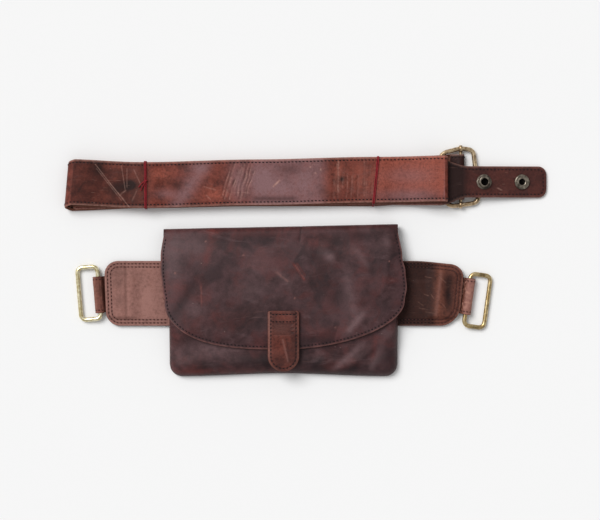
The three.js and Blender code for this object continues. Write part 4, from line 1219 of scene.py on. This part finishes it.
def tieLift(x):
    climb = tie["liftLength"] - tie["liftFlat"]
    lifts = [smoothStep(tie["liftLength"] - np.abs(x - one["place"]), 0, climb) for one in ties]
    return (tie["thickness"] + gap) * np.maximum(*lifts)


def flare(away):
    return 1 - smoothStep(np.abs(away), 0, strap["flareLength"])


def laneHeight(lane, x):
    climb = smoothStep(x, bridgeStart - bridge["run"], bridgeStart)
    rise = (bridgeHeight - strapThick / 2 - lanePitch) * climb
    height = strapThick / 2 + (3 - lane) * lanePitch + tieLift(x) + (rise if lane < 3 else 0)
    if lane == 0:
        height = height + strap["leftFlare"] * flare(x - strap["innerLeft"])
        height = height + strap["rightFlare"] * flare(strap["right"] - x)
    return height


def laneMiddle(lane, x):
    along = np.clip((np.asarray(x, float) - strap["left"]) / (strap["right"] - strap["left"]), 0, 1)
    return strap["middle"] + strap["width"] * readTable(strapLay, along, lane + 1)


def laneStations(lane, start, end, step):
    x = np.linspace(start, end, max(int(abs(end - start) / step), 2))
    return list(zip(x, laneHeight(lane, x), laneMiddle(lane, x), 0 * x + halfStrap, 0 * x + strapThick))


def turnStations(above, below, x, way):
    start, end = laneHeight(above, x), laneHeight(below, x)
    middle, half = (start + end) / 2, (start - end) / 2
    return [(
        x + way * abs(half) * math.sin(math.pi * t), middle + half * math.cos(math.pi * t),
        mix(laneMiddle(above, x), laneMiddle(below, x), t), halfStrap, strapThick,
    ) for t in np.linspace(0, 1, 22)[1:-1]]


def turnStart(upper, lower, reach, way):
    return reach - way * ((laneHeight(upper, reach) - laneHeight(lower, reach)) / 2 + strapThick / 2)


def endHeight(x):
    fall = bridgeHeight - endSlope * np.clip(x - bridgeEnd, 0, endFlat - bridgeEnd)
    return mix(fall, strapThick / 2 + gap, np.clip((x - endFlat) / (strap["endReach"] - endFlat), 0, 1))


# Half width and middle of the tab end
def endShape(x):
    share = smoothStep(x, strap["taperFrom"], strap["taperTo"])
    into = np.clip(x - (strap["endReach"] - strap["endCorner"]), 0, strap["endCorner"])
    lost = strap["endCorner"] - np.sqrt(strap["endCorner"] ** 2 - into ** 2)
    half = mix(halfStrap, strap["endWidth"] / 2, share) - lost
    return half, mix(laneMiddle(2, x), strap["endMiddle"], share)


# The strap's stations from its sewn end to its tab end, and where the bar's loop ends, where the top lane
# starts and ends, and where the tab end starts
def strapRoute():
    outerTurn = turnStart(0, 3, strap["left"], -1)
    innerTurn = turnStart(1, 2, strap["innerLeft"], -1)
    rightTurn = turnStart(0, 1, strap["right"], 1)
    skived, place, tail = leathers["skived"], buckle["place"], buckle["sewnTail"]
    loop = buckle["barWire"] / 2 + gap + skived / 2
    route = [
        (place - tail * (1 - t), mix(2 * skived + 2 * gap, barHeight + loop, smoothStep(t, 0.1, 0.95)),
         buckle["middle"], halfStrap, skived) for t in np.linspace(0, 1, 14)
    ]
    route += [
        (place + loop * math.sin(a), barHeight + loop * math.cos(a), buckle["middle"], halfStrap, skived)
        for a in np.linspace(0, math.pi, 24)[1:-1]
    ]
    looped = len(route)
    route += [
        (place - tail * t, skived / 2, buckle["middle"], halfStrap, skived) for t in np.linspace(0, 1, 6)
    ]
    bottomFrom = bridgeStart - bridge["thinFrom"]
    for t in np.linspace(1, 0, 10)[1:-1]:
        thick = mix(strapThick, skived, t)
        y = mix(laneMiddle(3, bottomFrom), buckle["middle"], t)
        route.append((mix(bottomFrom, place - tail, t), thick / 2, y, halfStrap, thick))
    route += laneStations(3, bottomFrom, outerTurn, laneSteps["hidden"])
    route += turnStations(3, 0, outerTurn, -1)
    first = len(route)
    route += laneStations(0, outerTurn, scratchedTo, laneSteps["scratched"])[:-1]
    route += laneStations(0, scratchedTo, rightTurn, laneSteps["shown"])
    last = len(route)
    route += turnStations(0, 1, rightTurn, 1)
    route += laneStations(1, rightTurn, innerTurn, laneSteps["hidden"])
    route += turnStations(1, 2, innerTurn, -1)
    route += laneStations(2, innerTurn, strap["taperFrom"], laneSteps["hidden"])
    ending = len(route)
    cornerStart = strap["endReach"] - strap["endCorner"]
    x = np.concatenate([
        np.linspace(strap["taperFrom"] + 1, cornerStart, 96),
        cornerStart + strap["endCorner"] * np.sin(np.linspace(0, 1, 14)[1:] * np.pi / 2 * tipShare),
    ])
    half, middle = endShape(x)
    route += list(zip(x, endHeight(x), middle, half, 0 * x + strapThick))
    return route, (looped, first, last, ending)


strapSewing = dict(inset=2.5, groove=0.16, seat=0.8, endInset=2.7, endFrom=169.0, columns=58)
dice = np.random.default_rng(20)
strapWrinkles = [(
    "stroke", -0.4, (-56 + 2.2 * k, 84 + 14 * dice.random()),
    (-49.5 + 2.2 * k, 117 - 12 * dice.random()), 0.5,
) for k in range(11)] + [(
    "stroke", -0.36 * dice.random(), (44 + 1.9 * k, 84 + 16 * dice.random()),
    (45 + 1.9 * k, 121 - 16 * dice.random()), 0.5,
) for k in range(21)]

# A lighter line to the right of each wrinkle: partly wax rubbed pale on the crease's edge, partly painted
# highlight on the side that faces the light
ridge = dict(share=-0.95, shift=1.3, width=0.45)
strapRidges = [
    (kind, ridge["share"] * depth, (a + ridge["shift"], b), (c + ridge["shift"], d), ridge["width"])
    for kind, depth, (a, b), (c, d), _ in strapWrinkles
]
strapScratches = [
    ("stroke", 0.41, (-170.2, 117.4), (-156, 99), 0.34), ("stroke", 0.47, (-156, 99), (-139, 78), 0.34),
    ("stroke", 0.30, (-168, 112), (-146, 84), 0.32), ("stroke", 0.28, (-146, 115), (-142.7, 94.1), 0.4),
    ("stroke", 0.28, (-134.6, 111.2), (-128, 97), 0.4),
    ("stroke", 0.33, (-147.2, 88.7), (-142.6, 92.4), 0.5), ("stroke", 0.25, (-141, 112), (-141, 96), 0.4),
    ("stroke", 0.22, (-132, 93), (-136, 84), 0.5), ("stroke", 1.1, (-8.8, 96.8), (-4.2, 101.2), 0.55),
    ("stroke", 0.17, (-150, 92), (-143, 84), 0.4), ("stroke", 0.22, (49, 119), (49.6, 92), 0.5),
    ("oval", 0.8, (24, 114), (0.8, 0.8)), ("oval", 0.7, (29, 108.5), (0.9, 0.7)),
    ("oval", 0.7, (33.5, 111.5), (0.7, 1.1)), ("stroke", 0.28, (-71, 96), (-62, 93.5), 0.5),
    ("stroke", 0.28, (-69, 88), (-66, 85), 0.5),
]


def makeStrap():
    route, (looped, first, last, ending) = strapRoute()
    folded = flare(np.array([row[0] for row in route], float) - strap["left"])[:, None]
    lean = math.tan(math.radians(strap["leftLean"])) * folded
    outer, inner = stripGrids(route, strapSewing["columns"], lean)
    through = unit(outer - inner)
    x, y = outer[..., 0], outer[..., 1]
    half = np.array([row[3] for row in route])[:, None]
    middle = np.array([row[2] for row in route], float)[:, None]
    inside = half - np.abs(y - middle)
    groove = np.exp(-((inside - strapSewing["inset"]) / stitch["grooveWidth"]) ** 2)
    row = np.arange(len(route))[:, None]
    top = np.where((row >= first) & (row < last), 1.0, 0.0)
    top = top * smoothStep(x, strap["left"], strap["left"] + 3)
    end = smoothStep(row, ending, ending + 8)
    wavy = x + 0.9 * roughNoise(outer, 8, 2, 84)
    broken = smoothStep(inside, 1.5, 4) * (0.75 + 0.8 * roughNoise(outer, 5, 2, 85))
    wrinkles = addMarks(wavy, y, strapWrinkles) * broken
    ridges = addMarks(wavy, y, strapRidges) * broken
    scratches = addMarks(x, y, strapScratches)
    relief = top * (0.22 * roughNoise(outer, 17, 3, 81) + wrinkles - 0.12 * scratches)
    relief = relief + 0.1 * end * roughNoise(outer, 12, 3, 82) - strapSewing["groove"] * groove
    edgeDrop = -0.3 * np.exp(-(inside / 0.8) ** 2)
    outer = outer + through * (relief + edgeDrop)[..., None]
    inner = inner + through * (strapSewing["groove"] * groove - edgeDrop)[..., None]
    # The end looped round the buckle's bar is painted darker: painted shade on the loop
    sewn = row < looped
    tan = smoothStep(x, 76, 90) * top
    mauve = top * smoothStep(x, -36, -22) * (1 - smoothStep(x, 30, 44))
    start = top * (1 - smoothStep(x, -126, -118))
    dark = top * smoothStep(x, 34, 44) * (1 - smoothStep(x, 76, 84))
    # Darker where the tab end leaves the folded lanes: painted shadow at the foot of the fold by the buckle
    loop = smoothStep(row, ending - 30, ending) * (1 - smoothStep(x, 158, 171))
    paint = dict(
        warm=top * addMarks(x, y, [
            ("oval", 0.95, (-162, 114), (5, 3)), ("oval", 0.95, (-150, 114), (8, 3.5)),
            ("oval", 0.8, (-152, 103), (3, 3)), ("oval", 0.5, (-160, 88), (7, 5)),
            ("oval", 0.35, (-133, 104), (7, 16)), ("oval", 0.3, (-44, 96), (10, 18)),
            ("oval", 0.9, (-111, 108), (10, 6)), ("oval", 0.9, (-61, 89), (12, 6)),
            ("oval", 0.5, (-74, 108), (6, 12)), ("oval", 0.7, (50, 112), (4, 9)),
            ("oval", 0.5, (39, 100), (5, 14)), ("oval", 0.6, (142.5, 101), (3.5, 19)),
            ("oval", 0.6, (66, 104), (16, 18)),
        ]) + 0.8 * tan * smoothStep(y, 84, 98),
        pale=top * addMarks(x, y, [
            ("stroke", 0.6, (-95, 82), (-73, 111), 6.0), ("oval", 0.5, (-78, 114), (8, 5)),
            ("oval", 0.5, (-105, 90), (12, 5)), ("oval", 0.8, (-40, 101), (11, 22)),
            ("oval", 0.7, (-18.5, 101), (9, 10)), ("oval", 0.4, (-2, 95), (10, 6)),
            ("oval", 0.6, (112, 88), (30, 7)), ("oval", 0.3, (18, 100), (8, 12)),
            ("stroke", 0.5, (145, 84), (146, 118), 1.2), ("oval", 0.4, (112, 106), (24, 8)),
            ("oval", 0.2, (-86, 101), (10, 18)),
        ]) + 0.7 * mauve + 0.14 * end,
        # Darker marks: patches of darker tone, and painted shade in the wrinkles, on the looped end and at
        # the foot of the fold
        deep=top * addMarks(x, y, [
            ("oval", 0.95, (-138, 97.5), (6, 4.5)), ("oval", 0.5, (-166, 112), (6, 9)),
            ("oval", 0.4, (-150, 94), (10, 7)), ("oval", 0.9, (52.7, 103), (2.6, 2.6)),
            ("stroke", 0.5, (-24, 85.5), (8, 85.5), 2), ("oval", 0.4, (6, 112), (12, 5)),
            ("oval", 0.4, (-96, 97), (9, 5)), ("oval", 0.35, (36, 92), (6, 7)),
        ]) + 0.5 * start + 0.15 * dark - 1.2 * wrinkles * top + 0.95 * sewn + 0.62 * end + 0.45 * loop,
        wearAndHighlight=top * (scratches + ridges) + 0.45 * np.exp(-(inside / 1.1) ** 2) * (1 - 0.6 * end)
        + end * 0.4 * stroke(x, y, (194, 94.6), (196, 93.6), 0.6),
    )
    piece = leatherSheet("strap_leather", outer, inner, paint)
    rows = []
    inset = strapSewing["inset"]
    stop = ending + int(np.argmax(np.array([r[0] for r in route[ending:]]) > strapSewing["endFrom"]))
    for face, away in ((outer, through), (inner, -through)):
        for way in (-1, 1):
            path = np.array([
                [np.interp(way * (h[0] - inset), g[:, 1] - m[0], g[:, k]) for k in range(3)]
                for g, h, m in zip(face[:stop], half[:stop], middle[:stop])
            ])
            rows.append((path, away[:stop, strapSewing["columns"] // 2]))
    return piece, rows


def endTop(x, y):
    return endHeight(x) + strapThick / 2 - strapSewing["groove"] * strapSewing["seat"]


def endUnder(x, y):
    return endHeight(x) - strapThick / 2 + strapSewing["groove"] * strapSewing["seat"]


def endSewing():
    straight = np.linspace(strapSewing["endFrom"], strap["endReach"] - strap["endCorner"], 60)
    angle = np.linspace(0, np.pi / 2, 20)[1:]
    corner = strap["endReach"] - strap["endCorner"] * (1 - np.sin(angle))
    x = np.concatenate([straight, corner])
    half = strap["endWidth"] / 2 - np.concatenate([0 * straight, strap["endCorner"] * (1 - np.cos(angle))])
    x, y = np.concatenate([x, x[::-1]]), np.concatenate([-half, half[::-1]]) + strap["endMiddle"]
    return insetPath(x, y, strapSewing["endInset"])


strapPiece, strapRows = makeStrap()
settle(strapPiece, strapLeather, "strap_leather", "belt_strap")
top, ups = onFace(endTop, *endSewing())
under, downs = onFace(endUnder, *endSewing())
strapRows += [(top, ups), (under, -downs)]
settle(joinParts("strap_stitches", stitchParts(strapRows)), darkThread, "tie_thread")
report("strap folded and sewn")

# Buckle: a bent wire frame with a centre bar, tilted until its right side lies on the surface. Its corners
# are given in shares of its width and length, each with its rounding.
frameCorners = [
    (0.50, -0.445, 6), (0.34, 0.475, 5.5), (0.0, 0.503, 16), (-0.60, 0.400, 9), (-0.42, -0.525, 9),
]


def toBuckle(points):
    x, y, z = points[..., 0], points[..., 1], points[..., 2]
    return space(
        x * math.cos(frameTilt) + z * math.sin(frameTilt) + buckle["place"], y + buckle["middle"],
        z * math.cos(frameTilt) - x * math.sin(frameTilt) + barHeight,
    )


framePath = roundedLoop([
    (across * buckle["width"], up * buckle["length"], rounding) for across, up, rounding in frameCorners
], 0.7)


def crossing(way):
    x, y = framePath
    after = np.roll(x, -1)
    k = np.flatnonzero((y * way > 0) & (x * after <= 0))[0]
    return mix(y[k], np.roll(y, -1)[k], x[k] / (x[k] - after[k]))


def makeBuckleFrame():
    path = space(*framePath)
    wear = roughNoise(path, 8, 3, 91)
    path = toBuckle(path)
    wire = wirePart(path, buckle["wire"] / 2 * (1 - 0.03 * np.abs(wear)), 28)
    return joinParts("buckle_wire", [wire])


def makeBuckleBar():
    ends = [crossing(1), crossing(-1)]
    bore = buckle["wire"] / 2 + gap
    y = np.linspace(ends[1] + bore + 0.3, ends[0] - bore - 0.3, 70)
    parts = [wirePart(toBuckle(space(0 * y, y)), buckle["barWire"] / 2, 20, closed=False)]
    angle = np.linspace(0, 2 * np.pi, 49)[:-1]
    radius = bore + buckle["eyeWall"] / 2
    along = (math.cos(frameTilt), 0, -math.sin(frameTilt))
    for end in ends:
        path = toBuckle(space(0 * angle, end + radius * np.cos(angle), radius * np.sin(angle)))
        stretch = buckle["eyeWidth"] / buckle["eyeWall"]
        parts.append(wirePart(path, buckle["eyeWall"] / 2, 16, up=along, stretch=stretch))
    return joinParts("buckle_centre_bar", parts)


settle(makeBuckleFrame(), buckleBrass, "antique_brass", "buckle_frame")
settle(makeBuckleBar(), buckleBrass, "antique_brass", "buckle_bar")


# A section with each of its inner corners rounded off
def softened(section, size, steps=5):
    points = [section[0]]
    for before, here, after in zip(section, section[1:], section[2:]):
        before, here, after = (np.array(p, float) for p in (before, here, after))
        reach = min(size, np.linalg.norm(before - here) * 0.45, np.linalg.norm(after - here) * 0.45)
        start, end = here + unit(before - here) * reach, here + unit(after - here) * reach
        for t in np.linspace(0, 1, steps):
            points.append(tuple(mix(mix(start, here, t), mix(here, end, t), t)))
    return points + [section[-1]]


def snapSections():
    halves = (snap[key] / 2 for key in ("width", "collar", "hole", "socketHole", "capWidth"))
    rim, collar, hole, well, cap = halves
    tall, flat, low, thick = snap["height"], snap["flange"], snap["socketHeight"], snap["capHeight"]
    stud = [
        (0, 0), (rim, 0), (rim, flat * 0.8), (collar + 0.5, flat), (collar, flat + 0.6),
        (collar, tall * 0.85), (collar - 0.6, tall), (hole + 0.6, tall), (hole, tall * 0.86),
        (hole - 0.2, flat + 0.3), (1.3, flat), (0, flat + 0.3),
    ]
    socket = [
        (0, 0), (rim, 0), (rim, low * 0.6), (rim - 0.9, low), (well + 1.5, low * 0.86), (well + 0.7, low),
        (well, low * 0.8), (well - 0.1, low * 0.4), (0, low * 0.4),
    ]
    under = [(0, -thick), (cap * 0.7, -thick * 0.92), (cap, -thick * 0.4), (cap, 0), (0, 0)]
    return softened(stud, 0.35), softened(socket, 0.3), softened(under, 0.3)


studSection, socketSection, capSection = snapSections()
snapLean = math.atan(endSlope)
snapAxis = np.array([math.sin(snapLean), 0, math.cos(snapLean)])
snapSeat = snapAxis * (strapThick / 2 + gap)
for name, place, section, hole in (
    ("stud", snap["stud"], studSection, snap["hole"]),
    ("socket", snap["socket"], socketSection, snap["socketHole"]),
):
    well = hole / 2 + snap["wellRim"]
    centre = np.array([place, strap["endMiddle"], float(endHeight(place))])
    upper = joinParts(f"snap_{name}_pressed", [turnedPart(section, centre + snapSeat, snapAxis)])
    lower = joinParts(f"snap_cap_{name}_pressed", [turnedPart(capSection, centre - snapSeat, snapAxis)])
    settle(upper, snapBrass, "snap_metal", f"snap_{name}")
    # Faces inside each hole take the near-black brass, painted shade in the well
    upper.data.materials.append(wellShadeBrass)
    for face in upper.data.polygons:
        out = np.array(face.center) / mm - centre
        if np.linalg.norm(out - snapAxis * (out @ snapAxis)) < well:
            face.material_index = 1
    settle(lower, snapBrass, "snap_metal", f"snap_cap_{name}")

# The fastener under the tab is hidden, so it keeps its solid from the frame and takes the snaps' brass
hiddenSnap = bpy.data.objects["closure_snap"].data.materials
hiddenSnap.clear()
hiddenSnap.append(snapBrass)
report("buckle and snaps made")

# Ties: doubled red thread round the folded strap, the left one with its knot and cut ends on top
tieThread = dict(radius=0.5, apart=0.6, sway=0.22, corner=1.1, stand=0.25, sink=0.02)
knot = dict(
    shift=0.3, middle=101.3, lift=0.55, loops=((0.3, 1.5), (1.3, 1.35)), loopHeight=0.75,
    ends=(
        [(0, 0, 0.2), (-2.2, -1.2, 0.5), (-4.6, -3.2, 0.2), (-6.3, -5.8, -0.35)],
        [(0, 0, 0.3), (-1.2, -2.6, 0.5), (-3.4, -5.6, 0.2), (-4.2, -8.8, -0.35)],
    ),
)


def tiePath(one, shift):
    place = one["place"]
    edges = [float(laneMiddle(k, place)) for k in range(4)]
    room = gap + tieThread["radius"]
    high = float(laneHeight(0, place)) + strapThick / 2 + tieThread["stand"] + tieThread["radius"]
    low, corner = tieThread["radius"] - tieThread["sink"], tieThread["corner"]
    y, z = roundedLoop([
        (min(edges[2:]) - halfStrap - room, low, corner), (max(edges[2:]) + halfStrap + room, low, corner),
        (edges[0] + halfStrap + room, high, corner), (edges[0] - halfStrap - room, high, corner),
    ], 0.6)
    sway = tieThread["sway"] * roughNoise(space(y, z, shift * 9), 9, 2, 95)
    x = place - (y - strap["middle"]) * math.tan(math.radians(one["lean"])) + shift + sway
    return space(x, y, z), high


def makeTie(one):
    apart, radius = tieThread["apart"], tieThread["radius"]
    parts = []
    for shift in (-apart, apart):
        path, high = tiePath(one, shift)
        parts.append(wirePart(path, radius, 10, up=(1, 0.04, 0)))
    if one["name"] == "left":
        centre = np.array([one["place"] + knot["shift"], knot["middle"], high + knot["lift"]])
        turn = np.linspace(0, 2 * np.pi, 33)[:-1]
        for tilt, size in knot["loops"]:
            reach = size * np.cos(turn)
            loop = space(reach * math.cos(tilt), reach * math.sin(tilt), knot["loopHeight"] * np.sin(turn))
            parts.append(wirePart(centre + loop, radius * 0.95, 10, up=(0.1, 0.2, 1)))
        for end in knot["ends"]:
            keys = np.array(end)
            t = np.linspace(0, len(keys) - 1, 26)
            path = np.stack([np.interp(t, np.arange(len(keys)), keys[:, k]) for k in range(3)], axis=-1)
            for _ in range(3):
                path[1:-1] = (path[:-2] + path[1:-1] * 2 + path[2:]) / 4
            parts.append(wirePart(centre + path, radius * 0.85, 8, closed=False, up=(0.3, 0.2, 1)))
    return joinParts(f"tie_thread_{one['name']}", parts)


for one in ties:
    settle(makeTie(one), redThread, "tie_thread", f"strap_tie_{one['name']}")
report("ties wound")

# Studio: a plain pale table, a large soft light from the upper left and an even white surround
studio = dict(floor="#f1f1f1", surround=0.47, key=2.43, softness=34.0, keyFrom=(-1.3, 1.15, 2.0))
table = dict(across=6.0, drop=0.0002)
bpy.ops.mesh.primitive_plane_add(size=table["across"], location=(0, 0, -table["drop"]))
floor = bpy.context.object
floor.name = "table"
floorPaint = newMaterial("Matt white card", {
    "Base Color": hexColour(studio["floor"]), "Roughness": 0.9, "Specular IOR Level": 0.1,
})[0]
floor.data.materials.append(floorPaint)

world = bpy.data.worlds.new("Surround")
bpy.context.scene.world = world
world.use_nodes = True
surround = world.node_tree.nodes["Background"].inputs
surround["Color"].default_value = (1, 1, 1, 1)
surround["Strength"].default_value = studio["surround"]

keyLight = bpy.data.lights.new("Key light", "SUN")
keyLight.energy, keyLight.angle = studio["key"], math.radians(studio["softness"])
key = bpy.data.objects.new("Key light", keyLight)
bpy.context.scene.collection.objects.link(key)
aim = np.array(studio["keyFrom"])
key.location = aim
key.rotation_euler = (math.atan2(math.hypot(aim[0], aim[1]), aim[2]), 0, math.atan2(aim[0], -aim[1]))

# Camera straight above, framed as the photograph: 540 mm across the picture at the height of the leathers
view = dict(height=2.0, across=0.54, level=0.011, middle=(0.01485, 0.03015), sensor=36)
eye = bpy.data.cameras.new("Camera")
eye.sensor_width = view["sensor"]
eye.lens = eye.sensor_width * (view["height"] - view["level"]) / view["across"]
camera = bpy.data.objects.new("Camera", eye)
camera.location = (*view["middle"], view["height"])
bpy.context.scene.collection.objects.link(camera)
bpy.context.scene.camera = camera
bpy.context.scene.view_settings.view_transform = "Standard"

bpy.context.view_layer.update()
report("scene ready")
